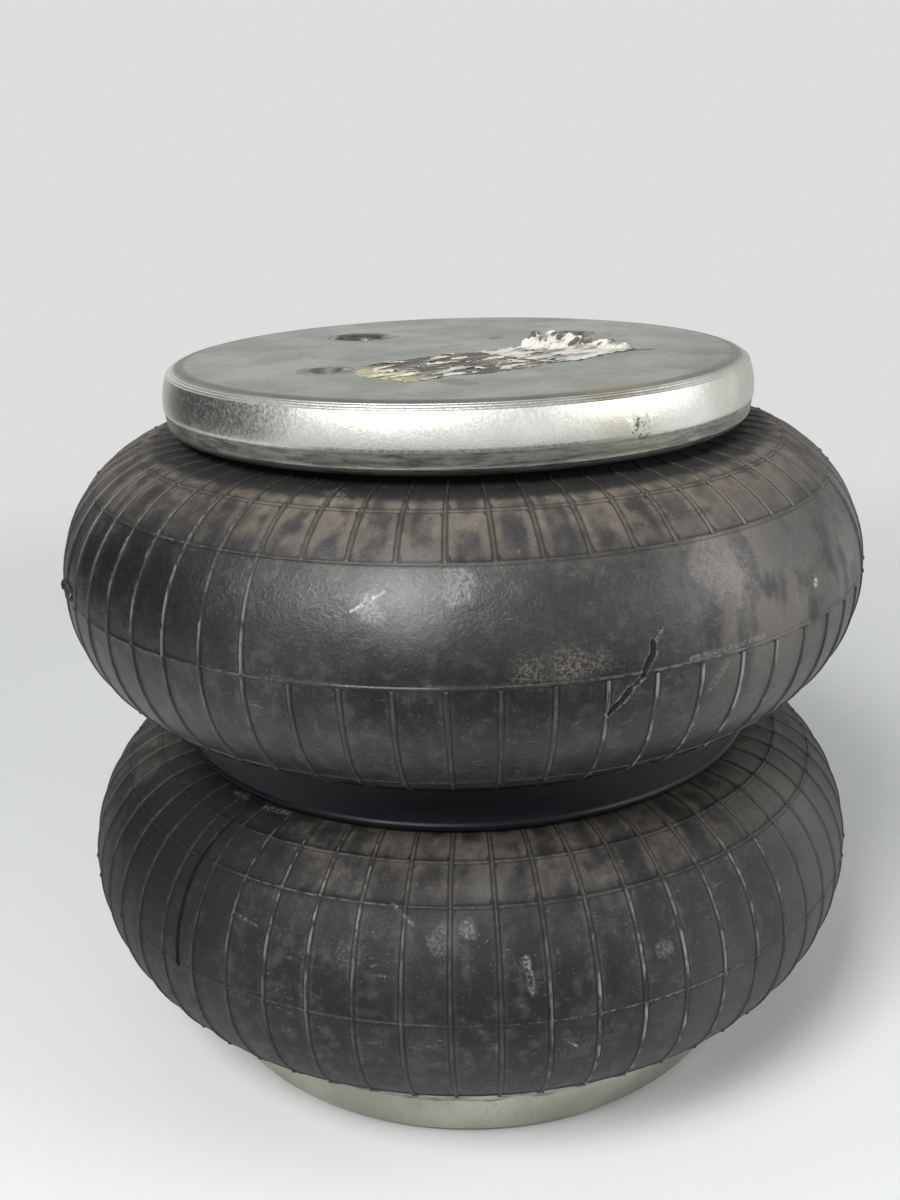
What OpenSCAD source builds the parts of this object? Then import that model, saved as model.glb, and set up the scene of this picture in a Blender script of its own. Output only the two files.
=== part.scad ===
// Double-convolution air spring with crimped steel bead plates.
// Millimetres, +Z up. The origin is the centre of the bottom plate's outer face.
// The spring is drawn at its full height, where the bellows holds it.

/* [Assembly] */
// Height from the bottom plate's face to the top plate's face, fully extended
spring_h = 347; // [320:1:370]
// Height between the faces when the top plate meets the bump stop
min_h = 127; // [120:1:150]

/* [Bead plates] */
// Diameter over the crest of the rolled rim
plate_od = 287; // [280:1:300]
// Thickness of the sheet steel
plate_sheet = 2.8; // [2.2:0.1:3.2]
// Depth of the rim, from the plate's face to the rim's far edge
rim_h = 30; // [27:0.5:33]
// Width of the rounded shoulder, from the flat face to the crimp line
shoulder_w = 9; // [7:0.5:10]
// How far the crimp line lies below the face
crimp_drop = 3.2; // [2:0.1:4]
// How far the rim's crest stands out from the crimp line
rim_bulge = 2.5; // [1.5:0.1:3.5]
// Outside radius of the curl that grips the bead
curl_r = 6; // [5:0.25:7]
// Angle at which the curl's lip ends, measured from straight outwards
curl_end = 215; // [190:1:225]

/* [Bead] */
// Diameter of the bead's bundle of steel wire
wire_d = 8.4; // [6:0.2:10]
// Distance from the plate's crest to the middle of the wire bundle
wire_inset = 12; // [11:0.25:13]
// Hairline between the crimped rubber and the steel around it
crimp_gap = 0.15; // [0.05:0.05:0.3]

/* [Bellows] */
// Diameter over the crest of each convolution
convolution_od = 396; // [380:1:410]
// Distance from the hoop's middle plane to the crest of each convolution
crest_offset = 74; // [70:0.5:78]
// Space between the rim's curl and the bellows that folds over it
fold_gap = 3.8; // [3:0.1:5]
// Thickness of the outer rubber cover
cover_t = 2; // [1.5:0.1:2.5]
// Thickness of one rubbered cord ply
ply_t = 0.9; // [0.7:0.1:1.2]
// Thickness of the airtight inner liner
liner_t = 1.6; // [1.2:0.1:2]
// Hairline between two bonded layers
bond_gap = 0.05; // [0.02:0.01:0.1]

/* [Girdle hoop] */
// Diameter of the bellows' waist inside the hoop
waist_d = 256.6; // [252:0.2:260]
// Radius of the round groove that the waist forms
groove_r = 12.4; // [11:0.2:13]
// How far the hoop's lips stand out from the middle of its round back
hoop_proud = 5.3; // [4:0.1:8]
// Height of the hoop's outer face
hoop_face_h = 21; // [19:0.5:21.5]
// How far the two lips stand out from the hoop's outer face
hoop_lip = 0.9; // [0.5:0.1:1.5]
// Running space between the hoop and the bellows
hoop_gap = 0.3; // [0.2:0.05:0.5]

/* [Blind nuts] */
// Distance between the two blind nuts of a plate
nut_spacing = 157.5; // [150:0.5:160]
// Diameter of the wall of the threaded hole, the minor diameter of M12
nut_hole_d = 10.2; // [8.5:0.1:11]
// Depth of the hole
nut_hole_depth = 17; // [15:0.5:17]
// Diameter of the round spigot that shows in the plate's face
nut_spigot_d = 26; // [24:0.5:27]
// Diameter of the flange welded under the plate
nut_flange_d = 33; // [30:0.5:35]
// Thickness of the flange under every fitting
flange_t = 4; // [3:0.5:5]
// Diameter of the barrel beyond the flange
nut_barrel_d = 23; // [21:0.5:25]
// Overall length, from the plate's face inwards
nut_length = 20; // [19:0.5:22]
// Diameter of the countersink at the mouth
nut_mouth_d = 17.6; // [15:0.2:19]

/* [Air inlet] */
// Distance from the spring's axis to the inlet's axis
inlet_offset = 80; // [73:0.5:85]
// Diameter of the wall of the inlet's pipe thread
inlet_hole_d = 24.1; // [18.6:0.1:24.2]
// Diameter of the spigot that shows in the plate's face
inlet_spigot_d = 33; // [31:0.5:35]
// Diameter of the flange welded under the plate
inlet_flange_d = 42; // [38:0.5:45]
// Overall length, from the plate's face inwards
inlet_length = 20; // [16:0.5:24]
// Diameter of the countersink at the mouth
inlet_mouth_d = 27; // [25:0.2:28]
// Radial clearance of a spigot in its hole in the plate
spigot_gap = 0.1; // [0.05:0.05:0.2]

/* [Bump stop] */
// Diameter of the bump stop's foot
bump_foot_d = 104; // [90:1:110]
// Diameter of the bump stop's crown
bump_crown_d = 70; // [60:1:80]
// Radius of the crown's outer edge
bump_crown_round = 10; // [6:0.5:12]
// Height of the foot's straight edge
bump_foot_edge = 9; // [6:0.5:12]
// Height of the slope from the foot to the waist
bump_skirt_h = 24; // [20:1:30]
// Height of the waist above the foot's underside
bump_waist_z = 50; // [45:1:60]
// How far the waist is drawn in from the crown's radius
bump_waist_in = 2; // [1:0.5:4]
// Thickness of the steel base under the rubber
bump_base_t = 3; // [2:0.5:4]
// Thickness of the rubber foot that the nut clamps
bump_floor_t = 15; // [12:0.5:18]
// Diameter of the well that takes the nut and washer
bump_well_d = 38; // [36:1:42]
// Diameter of the fixing stud
stud_d = 12; // [10:1:12]
// Length of the stud above the plate
stud_l = 36; // [34:0.5:40]
// Diameter of the washer
washer_d = 32; // [28:1:34]
// Thickness of the washer
washer_t = 2.5; // [2:0.5:3]
// Width across the flats of the nut
nut_af = 19; // [17:1:19]
// Height of the nut
nut_h = 10; // [8:0.5:11]
// Space left between the bump stop and the top plate at the lowest height
bump_gap = 0.2; // [0.1:0.1:0.5]

/* [Hidden] */
$fn = 96;

// How far a cutter runs past the face that it cuts
past = 1;

zinc = "#a7a9a6";
bright_steel = "#b9bbba";
wire_steel = "#8d8a80";
cover_black = "#3a3a3b";
bead_black = "#2c2c2d";
cord_tan = "#8a7a5e";
cord_cream = "#a39677";
liner_black = "#242526";
hoop_black = "#1d2127";

// Points on a circle or an ellipse quarter, angles counted from straight outwards towards +Z.
// A first of 1 leaves out the point that the stretch before already has.
function arc(cx, cz, rx, rz, from, to, n, first = 0) =
    [for (i = [first:n]) let (a = from + (to - from) * i / n) [cx + rx * cos(a), cz + rz * sin(a)]];
function reversed(path) = [for (i = [len(path) - 1:-1:0]) path[i]];

// Rim of a plate that lies face down: the shoulder's arc, the bulged wall and the curl
crest_r = plate_od / 2;
crimp_r = crest_r - rim_bulge;
face_r = crimp_r - shoulder_w;
shoulder_r = (shoulder_w * shoulder_w + crimp_drop * crimp_drop) / (2 * crimp_drop);
shoulder_angle = asin(shoulder_w / shoulder_r);
curl_z = rim_h - curl_r;
crest_z = crimp_drop + (rim_h - crimp_drop) / 2;
half_chord = crest_z - crimp_drop;
wall_r = (rim_bulge * rim_bulge + half_chord * half_chord) / (2 * rim_bulge);
wall_centre_r = crest_r - wall_r;
curl_centre_r = wall_centre_r + sqrt(pow(wall_r - curl_r, 2) - pow(curl_z - crest_z, 2));
wall_start = -asin(half_chord / wall_r);
wall_end = asin((curl_z - crest_z) / (wall_r - curl_r));
corner_r = crest_r - plate_sheet - face_r;

// Channel that the rim closes round the bead, measured at its narrowest. The rubber stays
// clear of the curl's lip, slopes away from it outwards and rises to the bellows' wall.
bead_lip_gap = 1;
bead_slope = 2;
bead_rise = 3;
channel_r = crest_r - plate_sheet - crimp_gap;
channel_floor = plate_sheet + crimp_gap;
channel_top = curl_z + curl_r * sin(curl_end) - bead_lip_gap;
lip_tip_r = curl_centre_r + curl_r * cos(curl_end);
wire_r = crest_r - wire_inset;
wire_z = (channel_floor + channel_top) / 2;

// Bellows: the fold over the curl, the two sides of the convolution and the groove for the hoop
mid_z = spring_h / 2;
fold_r = curl_r + fold_gap;
bead_wall_r = curl_centre_r - fold_r;
crest_conv_r = convolution_od / 2;
crest_conv_z = mid_z - crest_offset;
bead_side_w = crest_conv_r - curl_centre_r;
bead_side_h = crest_conv_z - curl_z - fold_r;
groove_centre_r = waist_d / 2 + groove_r;
hoop_r = groove_centre_r + hoop_proud;
hoop_side_w = crest_conv_r - groove_centre_r;
hoop_side_h = mid_z - groove_r - crest_conv_z;
outer_ply_at = cover_t + bond_gap;
inner_ply_at = outer_ply_at + ply_t + bond_gap;
liner_at = inner_ply_at + ply_t + bond_gap;

// Bump stop: it fills what is left between the plates at the lowest height
bump_foot_z = plate_sheet + bump_base_t;
bump_top_z = min_h - plate_sheet - bump_gap;
bump_floor_z = bump_foot_z + bump_floor_t;
bump_h = bump_top_z - bump_foot_z;
stud_clearance = 1;
stud_hole_d = stud_d + stud_clearance;
stud_chamfer = 1;
nut_gap = 0.2;

// The lower convolution's wall at a depth below its outer surface, from the plate to the hoop's plane
function wall_path(depth) = concat(
    [[bead_wall_r - depth, plate_sheet]],
    arc(curl_centre_r, curl_z, fold_r + depth, fold_r + depth, 180, 90, 8),
    arc(curl_centre_r, crest_conv_z, bead_side_w - depth, bead_side_h - depth, -90, 0, 10, 1),
    arc(groove_centre_r, crest_conv_z, hoop_side_w - depth, hoop_side_h - depth, 0, 90, 10, 1),
    arc(groove_centre_r, mid_z, groove_r + depth, groove_r + depth,
        -90, asin(hoop_gap / 2 / (groove_r + depth)) - 180, 9, 1));

// One layer of the lower convolution, between two depths
module layer(depth, thickness) {
    rotate_extrude()
        polygon(concat(wall_path(depth), reversed(wall_path(depth + thickness))));
}

// What belongs to the top is the bottom's mirror image
module to_top() {
    translate([0, 0, spring_h])
        mirror([0, 0, 1])
            children();
}

// Sheet steel of a plate that lies face down, as a turned section
module plate_section() {
    polygon(concat(
        [[0, 0]],
        arc(face_r, shoulder_r, shoulder_r, shoulder_r, -90, shoulder_angle - 90, 5),
        arc(wall_centre_r, crest_z, wall_r, wall_r, wall_start, wall_end, 8, 1),
        arc(curl_centre_r, curl_z, curl_r, curl_r, wall_end, curl_end, 14, 1),
        reversed(arc(curl_centre_r, curl_z, curl_r - plate_sheet, curl_r - plate_sheet,
            wall_end, curl_end, 10, 1)),
        reversed(arc(wall_centre_r, crest_z, wall_r - plate_sheet, wall_r - plate_sheet, 0, wall_end, 4)),
        reversed(arc(face_r, plate_sheet + corner_r, corner_r, corner_r, -90, 0, 6)),
        [[0, plate_sheet]]));
}

// A plate face down, with the two holes for its blind nuts
module bead_plate() {
    difference() {
        rotate_extrude()
            plate_section();
        for (side = [-1, 1])
            translate([side * nut_spacing / 2, 0, -past])
                cylinder(d = nut_spigot_d + 2 * spigot_gap, h = plate_sheet + 2 * past);
    }
}

// A round fitting of a face-down plate: spigot, flange and barrel, bored from the face
module fitting(spigot_d, flange_d, barrel_d, length, hole_d, hole_depth, mouth_d) {
    mouth_depth = (mouth_d - hole_d) / 2;
    difference() {
        union() {
            cylinder(d = spigot_d, h = plate_sheet + flange_t);
            translate([0, 0, plate_sheet])
                cylinder(d = flange_d, h = flange_t);
            cylinder(d = barrel_d, h = length);
        }
        translate([0, 0, mouth_depth])
            cylinder(d = hole_d, h = hole_depth - mouth_depth);
        cylinder(d1 = mouth_d, d2 = hole_d, h = mouth_depth);
    }
}

module blind_nut(side) {
    translate([side * nut_spacing / 2, 0, 0])
        fitting(nut_spigot_d, nut_flange_d, nut_barrel_d, nut_length,
            nut_hole_d, nut_hole_depth, nut_mouth_d);
}

// The bead's bundle of wire, as one ring
module bead_wire() {
    rotate_extrude()
        translate([wire_r, wire_z])
            circle(d = wire_d, $fn = 32);
}

// Rubber that fills the channel of the rim round the wire
module bead_rubber() {
    rotate_extrude()
        difference() {
            polygon(concat(
                [[bead_wall_r + bond_gap, channel_floor]],
                arc(face_r, plate_sheet + corner_r, corner_r - crimp_gap, corner_r - crimp_gap, -90, 0, 6),
                [[channel_r, channel_top - bead_slope], [lip_tip_r, channel_top],
                    [bead_wall_r + bond_gap, channel_top + bead_rise]]));
            translate([wire_r, wire_z])
                circle(d = wire_d + 2 * bond_gap, $fn = 32);
        }
}

module bottom_bead_plate() {
    color(zinc)
        bead_plate();
}

module top_bead_plate() {
    color(zinc)
        difference() {
            to_top()
                bead_plate();
            translate([0, inlet_offset, spring_h - plate_sheet - past])
                cylinder(d = inlet_spigot_d + 2 * spigot_gap, h = plate_sheet + 2 * past);
        }
}

module bottom_blind_nut_left() {
    color(bright_steel)
        blind_nut(-1);
}

module bottom_blind_nut_right() {
    color(bright_steel)
        blind_nut(1);
}

module top_blind_nut_left() {
    color(bright_steel)
        to_top()
            blind_nut(-1);
}

module top_blind_nut_right() {
    color(bright_steel)
        to_top()
            blind_nut(1);
}

module air_inlet_boss() {
    color(bright_steel)
        to_top()
            translate([0, inlet_offset, 0])
                fitting(inlet_spigot_d, inlet_flange_d, inlet_spigot_d, inlet_length,
                    inlet_hole_d, inlet_length + past, inlet_mouth_d);
}

module bottom_bead_wire() {
    color(wire_steel)
        bead_wire();
}

module top_bead_wire() {
    color(wire_steel)
        to_top()
            bead_wire();
}

module bottom_bead_rubber() {
    color(bead_black)
        bead_rubber();
}

module top_bead_rubber() {
    color(bead_black)
        to_top()
            bead_rubber();
}

module lower_outer_cover() {
    color(cover_black)
        layer(0, cover_t);
}

module lower_outer_ply() {
    color(cord_tan)
        layer(outer_ply_at, ply_t);
}

module lower_inner_ply() {
    color(cord_cream)
        layer(inner_ply_at, ply_t);
}

module lower_inner_liner() {
    color(liner_black)
        layer(liner_at, liner_t);
}

module upper_outer_cover() {
    color(cover_black)
        to_top()
            layer(0, cover_t);
}

module upper_outer_ply() {
    color(cord_tan)
        to_top()
            layer(outer_ply_at, ply_t);
}

module upper_inner_ply() {
    color(cord_cream)
        to_top()
            layer(inner_ply_at, ply_t);
}

module upper_inner_liner() {
    color(liner_black)
        to_top()
            layer(liner_at, liner_t);
}

// Ring between the convolutions: round on the inside, a flat outer face between two lips
module girdle_hoop() {
    section_r = groove_r - hoop_gap;
    face_r = hoop_r - hoop_lip;
    half_h = hoop_face_h / 2;
    lip_h = 2 * hoop_lip;
    color(hoop_black)
        translate([0, 0, mid_z])
            rotate_extrude()
                polygon(concat(
                    arc(groove_centre_r, 0, section_r, section_r, 90, 270, 16),
                    [[hoop_r - lip_h, -section_r], [hoop_r, -half_h],
                        [hoop_r, lip_h - half_h], [face_r, lip_h + hoop_lip - half_h],
                        [face_r, half_h - lip_h - hoop_lip], [hoop_r, half_h - lip_h],
                        [hoop_r, half_h], [hoop_r - lip_h, section_r]]));
}

// Steel disc bonded under the bump stop
module bump_stop_base() {
    color(bright_steel)
        translate([0, 0, plate_sheet])
            difference() {
                cylinder(d = bump_foot_d, h = bump_base_t);
                translate([0, 0, -past])
                    cylinder(d = stud_hole_d, h = bump_base_t + 2 * past);
            }
}

// Rubber block with a waist and a rounded crown, hollow down to the foot that the nut clamps
module bump_stop() {
    foot_r = bump_foot_d / 2;
    crown_r = bump_crown_d / 2;
    well_r = bump_well_d / 2;
    color(cover_black)
        translate([0, 0, bump_foot_z])
            rotate_extrude()
                polygon(concat(
                    [[stud_hole_d / 2, 0], [foot_r, 0], [foot_r, bump_foot_edge],
                        [foot_r - bump_waist_in, bump_foot_edge + bump_waist_in],
                        [crown_r + bump_waist_in, bump_skirt_h],
                        [crown_r - bump_waist_in, bump_waist_z],
                        [crown_r, bump_h - bump_skirt_h]],
                    arc(crown_r - bump_crown_round, bump_h - bump_crown_round,
                        bump_crown_round, bump_crown_round, 0, 90, 6),
                    [[well_r, bump_h], [well_r, bump_floor_t], [stud_hole_d / 2, bump_floor_t]]));
}

// Stud welded to the middle of the bottom plate
module bump_stop_stud() {
    color(bright_steel)
        translate([0, 0, plate_sheet]) {
            cylinder(d = stud_d, h = stud_l - stud_chamfer);
            translate([0, 0, stud_l - stud_chamfer])
                cylinder(d1 = stud_d, d2 = stud_d - 2 * stud_chamfer, h = stud_chamfer);
        }
}

module bump_stop_washer() {
    color(bright_steel)
        translate([0, 0, bump_floor_z])
            difference() {
                cylinder(d = washer_d, h = washer_t);
                translate([0, 0, -past])
                    cylinder(d = stud_hole_d, h = washer_t + 2 * past);
            }
}

module bump_stop_nut() {
    color(bright_steel)
        translate([0, 0, bump_floor_z + washer_t])
            difference() {
                cylinder(d = nut_af / cos(30), h = nut_h, $fn = 6);
                translate([0, 0, -past])
                    cylinder(d = stud_d + nut_gap, h = nut_h + 2 * past);
            }
}

bottom_bead_plate();
top_bead_plate();
bottom_blind_nut_left();
bottom_blind_nut_right();
top_blind_nut_left();
top_blind_nut_right();
air_inlet_boss();
bottom_bead_wire();
top_bead_wire();
bottom_bead_rubber();
top_bead_rubber();
lower_outer_cover();
lower_outer_ply();
lower_inner_ply();
lower_inner_liner();
upper_outer_cover();
upper_outer_ply();
upper_inner_ply();
upper_inner_liner();
girdle_hoop();
bump_stop_base();
bump_stop();
bump_stop_stud();
bump_stop_washer();
bump_stop_nut();
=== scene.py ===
# %% [markdown]
# # A double-convolution air spring
#
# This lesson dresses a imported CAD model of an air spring: two pressed steel plates, a rubber
# bellows with two convolutions, the hoop between them, and the bump stop inside. The CAD model
# gives the sizes and the places, and every finish and fine form is made here with bmesh
# operators and node materials.

import math

import bmesh
import bpy
from mathutils import Matrix, Vector, noise


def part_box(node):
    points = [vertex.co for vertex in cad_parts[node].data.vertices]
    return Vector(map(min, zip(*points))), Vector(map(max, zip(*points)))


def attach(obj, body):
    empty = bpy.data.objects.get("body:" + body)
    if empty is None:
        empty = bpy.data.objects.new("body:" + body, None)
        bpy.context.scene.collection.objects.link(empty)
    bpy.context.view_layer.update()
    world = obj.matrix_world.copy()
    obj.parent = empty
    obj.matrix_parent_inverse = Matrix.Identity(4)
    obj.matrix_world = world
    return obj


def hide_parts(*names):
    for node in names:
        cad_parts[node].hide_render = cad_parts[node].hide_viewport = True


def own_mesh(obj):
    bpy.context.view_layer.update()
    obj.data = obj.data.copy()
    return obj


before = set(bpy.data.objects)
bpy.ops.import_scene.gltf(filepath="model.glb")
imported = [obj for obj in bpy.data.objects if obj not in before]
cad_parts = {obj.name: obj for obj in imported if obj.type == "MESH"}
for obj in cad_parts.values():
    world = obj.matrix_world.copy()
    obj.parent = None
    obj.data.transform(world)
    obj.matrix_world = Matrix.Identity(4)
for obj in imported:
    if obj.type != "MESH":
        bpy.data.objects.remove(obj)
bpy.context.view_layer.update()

# %% [markdown]
# ## Sizes
#
# Everything below is modelled in millimetres, because the real spring is specified that way,
# and scaled to metres once, when a mesh becomes an object. The main sizes come from the CAD
# nodes' boxes. The section sizes of the rim and the bellows can't be read from a box, so they
# repeat the values that the CAD model is built from.

# %% Sizes read from the frame
MM = 0.001


def box_mm(node):
    """Lowest and highest corner of a CAD node, in millimetres."""
    low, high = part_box(node)
    return low / MM, high / MM


spring_h = box_mm("top_bead_plate")[1].z
mid_z = spring_h / 2
plate_r = box_mm("top_bead_plate")[1].x
rim_h = box_mm("bottom_bead_plate")[1].z
crest_r = box_mm("upper_outer_cover")[1].x
hoop_r = box_mm("girdle_hoop")[1].x
nut_low, nut_high = box_mm("top_blind_nut_right")
nut_x = (nut_low.x + nut_high.x) / 2
inlet_low, inlet_high = box_mm("air_inlet_boss")
inlet_y = (inlet_low.y + inlet_high.y) / 2
fitting_length = spring_h - nut_low.z
print(f"height {spring_h:.0f}, plate radius {plate_r:.1f}, bellows radius {crest_r:.1f} mm")

# %% Section sizes of the rim and the bellows
sheet = 2.8
crimp_drop = 3.2
wall_bulge = 2.5
crimp_r = plate_r - wall_bulge
face_r = crimp_r - 9
curl_r = 6
curl_end = 215
fold_r = curl_r + 3.8
crest_offset = 74
groove_r = 12.4
waist_d = 256.6
groove_centre_r = waist_d / 2 + groove_r
hoop_gap = 0.3
rib_h = 0.75
skin_depth = rib_h + 0.15

shoulder_w = crimp_r - face_r
shoulder_r = (shoulder_w ** 2 + crimp_drop ** 2) / (2 * crimp_drop)
shoulder_angle = math.degrees(math.asin(shoulder_w / shoulder_r))
rim_crest_z = (crimp_drop + rim_h) / 2
half_chord = rim_crest_z - crimp_drop
wall_r = (wall_bulge ** 2 + half_chord ** 2) / (2 * wall_bulge)
wall_centre_r = plate_r - wall_r
curl_z = rim_h - curl_r
curl_centre_r = wall_centre_r + math.sqrt((wall_r - curl_r) ** 2 - (curl_z - rim_crest_z) ** 2)
wall_start = -math.degrees(math.asin(half_chord / wall_r))
wall_end = math.degrees(math.asin((curl_z - rim_crest_z) / (wall_r - curl_r)))
crest_z = mid_z - crest_offset
bead_w = crest_r - curl_centre_r
bead_h = crest_z - curl_z - fold_r
hoop_w = crest_r - groove_centre_r
hoop_h = mid_z - groove_r - crest_z
print(f"curl centre at radius {curl_centre_r:.1f}, convolution crest at height {crest_z:.1f} mm")

# %% [markdown]
# ## Camera, light and floor
#
# The camera stands where the photographer stood: a pinhole camera was fitted to the outlines
# of the two plates and the two convolutions. It was solved in a frame that faces the spring,
# so `view_turn` turns that frame to the spring's own axes, where X runs through the two blind
# nuts and Y to the air inlet. The lamps are placed in the same way.

# %% Camera
view_turn = Matrix.Rotation(math.radians(-40.4), 4, "Z")
camera_back = 0.6461
camera_height = 0.4398
camera_pitch = 0.310
camera_roll = -0.030
camera_yaw = 0.010

camera = bpy.data.objects.new("camera", bpy.data.cameras.new("camera"))
bpy.context.scene.collection.objects.link(camera)
camera.data.sensor_width = 36
camera.data.lens = 39.23
camera.data.shift_y = -0.0235
camera.matrix_world = (
    view_turn
    @ Matrix.Translation((0, -camera_back, camera_height))
    @ Matrix.Rotation(camera_yaw, 4, "Z")
    @ Matrix.Rotation(math.pi / 2 - camera_pitch, 4, "X")
    @ Matrix.Rotation(camera_roll, 4, "Z")
)
bpy.context.scene.camera = camera
bpy.context.scene.view_settings.view_transform = "Standard"
print("camera at", [round(x, 3) for x in camera.matrix_world.translation])

# %% [markdown]
# The light is a plain studio set-up: one wide soft lamp in front, a little to the left and
# about 45 degrees up, which draws the sheen on the bellows' shoulder, a weaker one at the
# right, and a pale world that lights the rest. The floor runs up into a round backdrop, so
# that no horizon shows from any side. Two dark cards lie outside the picture, one at the left
# and one under the camera: bright metal shows its surroundings, and without something dark
# beside it the end of a steel rim melts into a white backdrop.

# %% Colours and lamps
def srgb(code):
    """A hex colour as the linear colour that shaders want, with an alpha of 1."""
    parts = [int(code[i:i + 2], 16) / 255 for i in (1, 3, 5)]
    return tuple(c / 12.92 if c <= 0.04045 else ((c + 0.055) / 1.055) ** 2.4 for c in parts) + (1,)


def soft_lamp(name, place, size, power):
    """A square area lamp at a place in the camera's frame, aimed at the middle of the spring."""
    data = bpy.data.lights.new(name, "AREA")
    data.size = size
    data.energy = power
    lamp = bpy.data.objects.new(name, data)
    bpy.context.scene.collection.objects.link(lamp)
    target = Vector((0, 0, mid_z * MM))
    turned = view_turn @ Vector(place)
    lamp.location = turned
    lamp.rotation_euler = (target - turned).to_track_quat("-Z", "Y").to_euler()
    print(name, "at", [round(x, 2) for x in turned])


soft_lamp("key_lamp", (-0.6, -1.2, 1.5), 0.65, 36)
soft_lamp("right_fill", (1.6, -0.7, 1.1), 0.9, 12)

world = bpy.data.worlds.new("studio")
bpy.context.scene.world = world
world.use_nodes = True
world.node_tree.nodes["Background"].inputs["Color"].default_value = srgb("#f4f6f8")
world.node_tree.nodes["Background"].inputs["Strength"].default_value = 0.36

# %% [markdown]
# ## Helpers for nodes
#
# One function adds any shader node, sets its options and links its inputs. A material starts
# with `new_material` and ends with `surfaced`. A piece that bends keeps its shape at rest as
# an attribute, and `rest_coords` reads it, so that a pattern doesn't slide over the piece.

# %% Node helper
def add(tree, kind, inputs=None, **settings):
    """Adds a shader node. An input may be a value, a socket, or a node whose first live output is used."""
    made = tree.nodes.new("ShaderNode" + kind)
    for name, value in settings.items():
        setattr(made, name, value)
    for name, value in (inputs or {}).items():
        if isinstance(value, bpy.types.Node):
            value = next(s for s in value.outputs if s.enabled)
        if isinstance(value, bpy.types.NodeSocket):
            tree.links.new(value, made.inputs[name])
        else:
            made.inputs[name].default_value = value
    return made


def rest_coords(tree):
    """Where a point of a piece lay before anything bent it, so that a pattern bends with the piece."""
    return add(tree, "Attribute", attribute_name="rest_place").outputs["Vector"]


def new_material(name, **constants):
    """A material with a Principled shader whose plain numbers are set on its own sockets."""
    material = bpy.data.materials.new(name)
    material.use_nodes = True
    shader = material.node_tree.nodes["Principled BSDF"]
    for socket, value in constants.items():
        shader.inputs[socket.replace("_", " ")].default_value = value
    return material, material.node_tree, shader


def surfaced(tree, shader, tone, rough=None, relief=None, strength=0.4, distance=0.0002):
    """Gives the shader its tone and, where there is one, its roughness and a relief (distance in metres)."""
    tree.links.new(tone.outputs[2], shader.inputs["Base Color"])
    if rough is not None:
        tree.links.new(rough.outputs[0], shader.inputs["Roughness"])
    if relief is not None:
        bump = add(tree, "Bump", {"Strength": strength, "Distance": distance, "Height": relief})
        tree.links.new(bump.outputs[0], shader.inputs["Normal"])


# %% [markdown]
# ### Masks for wear
#
# Wear sits at places: a scrape runs from one point to another, a stain lies round a point. A
# mask is 1 there and 0 elsewhere, and noise breaks up its edge, since nothing on a used part
# ends in a clean curve. Places on the bellows are given as an angle and a height.

# %% Masks along a line and round a place
def skin_radius(height):
    """Radius of the bellows at a height in millimetres. Both convolutions are mirror images."""
    height = min(height, spring_h - height)
    if height < crest_z:
        share = (crest_z - height) / bead_h
        return curl_centre_r + bead_w * math.sqrt(max(0, 1 - share * share))
    share = (height - crest_z) / hoop_h
    return groove_centre_r + hoop_w * math.sqrt(max(0, 1 - share * share))


def on_skin_at(azimuth, height):
    """A point on the bellows in metres, from an angle in degrees and a height in millimetres."""
    turn = math.radians(azimuth)
    radius = skin_radius(height) - skin_depth
    return Vector((radius * math.cos(turn), radius * math.sin(turn), height)) * MM


def near_place(tree, coords, ragged, place, reach, uneven=1.6, soft=False):
    """1 within reach (mm) of a place, 0 well outside, with an edge that the ragged noise breaks up."""
    outer, inner = (1.9, 0.1) if soft else (1.25, 0.7)
    away = add(tree, "VectorMath", {0: coords, 1: place}, operation="DISTANCE").outputs["Value"]
    away = add(tree, "Math", {0: ragged, 1: reach * uneven * MM, 2: away}, operation="MULTIPLY_ADD")
    shift = 0.5 * uneven
    return add(tree, "MapRange", {0: away, 1: reach * (outer + shift) * MM, 2: reach * (inner + shift) * MM},
               interpolation_type="SMOOTHSTEP")


def near_line(tree, coords, ragged, start, end, reach, uneven=0.8):
    """1 within reach (mm) of the straight line between two places, ragged at its edge."""
    along = end - start
    offset = add(tree, "VectorMath", {0: coords, 1: start}, operation="SUBTRACT")
    share = add(tree, "VectorMath", {0: offset, 1: along / along.length_squared}, operation="DOT_PRODUCT")
    share = add(tree, "Clamp", {0: share.outputs["Value"]})
    foot = add(tree, "VectorMath", {0: along, 3: share}, operation="SCALE")
    away = add(tree, "VectorMath", {0: offset, 1: foot}, operation="DISTANCE").outputs["Value"]
    away = add(tree, "Math", {0: ragged, 1: reach * uneven * MM, 2: away}, operation="MULTIPLY_ADD")
    shift = 0.5 * uneven
    return add(tree, "MapRange", {0: away, 1: reach * (1.15 + shift) * MM, 2: reach * (0.75 + shift) * MM},
               interpolation_type="SMOOTHSTEP")


def overlap(tree, *masks):
    """1 only where every mask is 1. A mask may also be a plain number."""
    shared = masks[0]
    for mask in masks[1:]:
        shared = add(tree, "Math", {0: shared, 1: mask}, operation="MULTIPLY")
    return shared


def tint(tree, mask, tone, code, amount=1.0):
    """Lays a colour over a tone where the mask is 1."""
    if amount != 1.0:
        mask = overlap(tree, mask, amount)
    return add(tree, "Mix", {0: mask, 6: tone, 7: srgb(code)}, data_type="RGBA")


# %% [markdown]
# ### Helpers for meshes
#
# Nearly every piece of this spring is round, so it is drawn as a section and turned round the
# Z axis with the spin operator. A finished bmesh is handed over to an object that sits at the
# origin and rides on one body of the frame.

# %% Mesh helpers
def arc(centre_r, centre_z, radius_r, radius_z, start, end, steps, first=0):
    """Points (radius, height) on a circle or ellipse, angles counted from straight outwards."""
    found = []
    for i in range(first, steps + 1):
        angle = math.radians(start + (end - start) * i / steps)
        found.append((centre_r + radius_r * math.cos(angle), centre_z + radius_z * math.sin(angle)))
    return found


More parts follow.
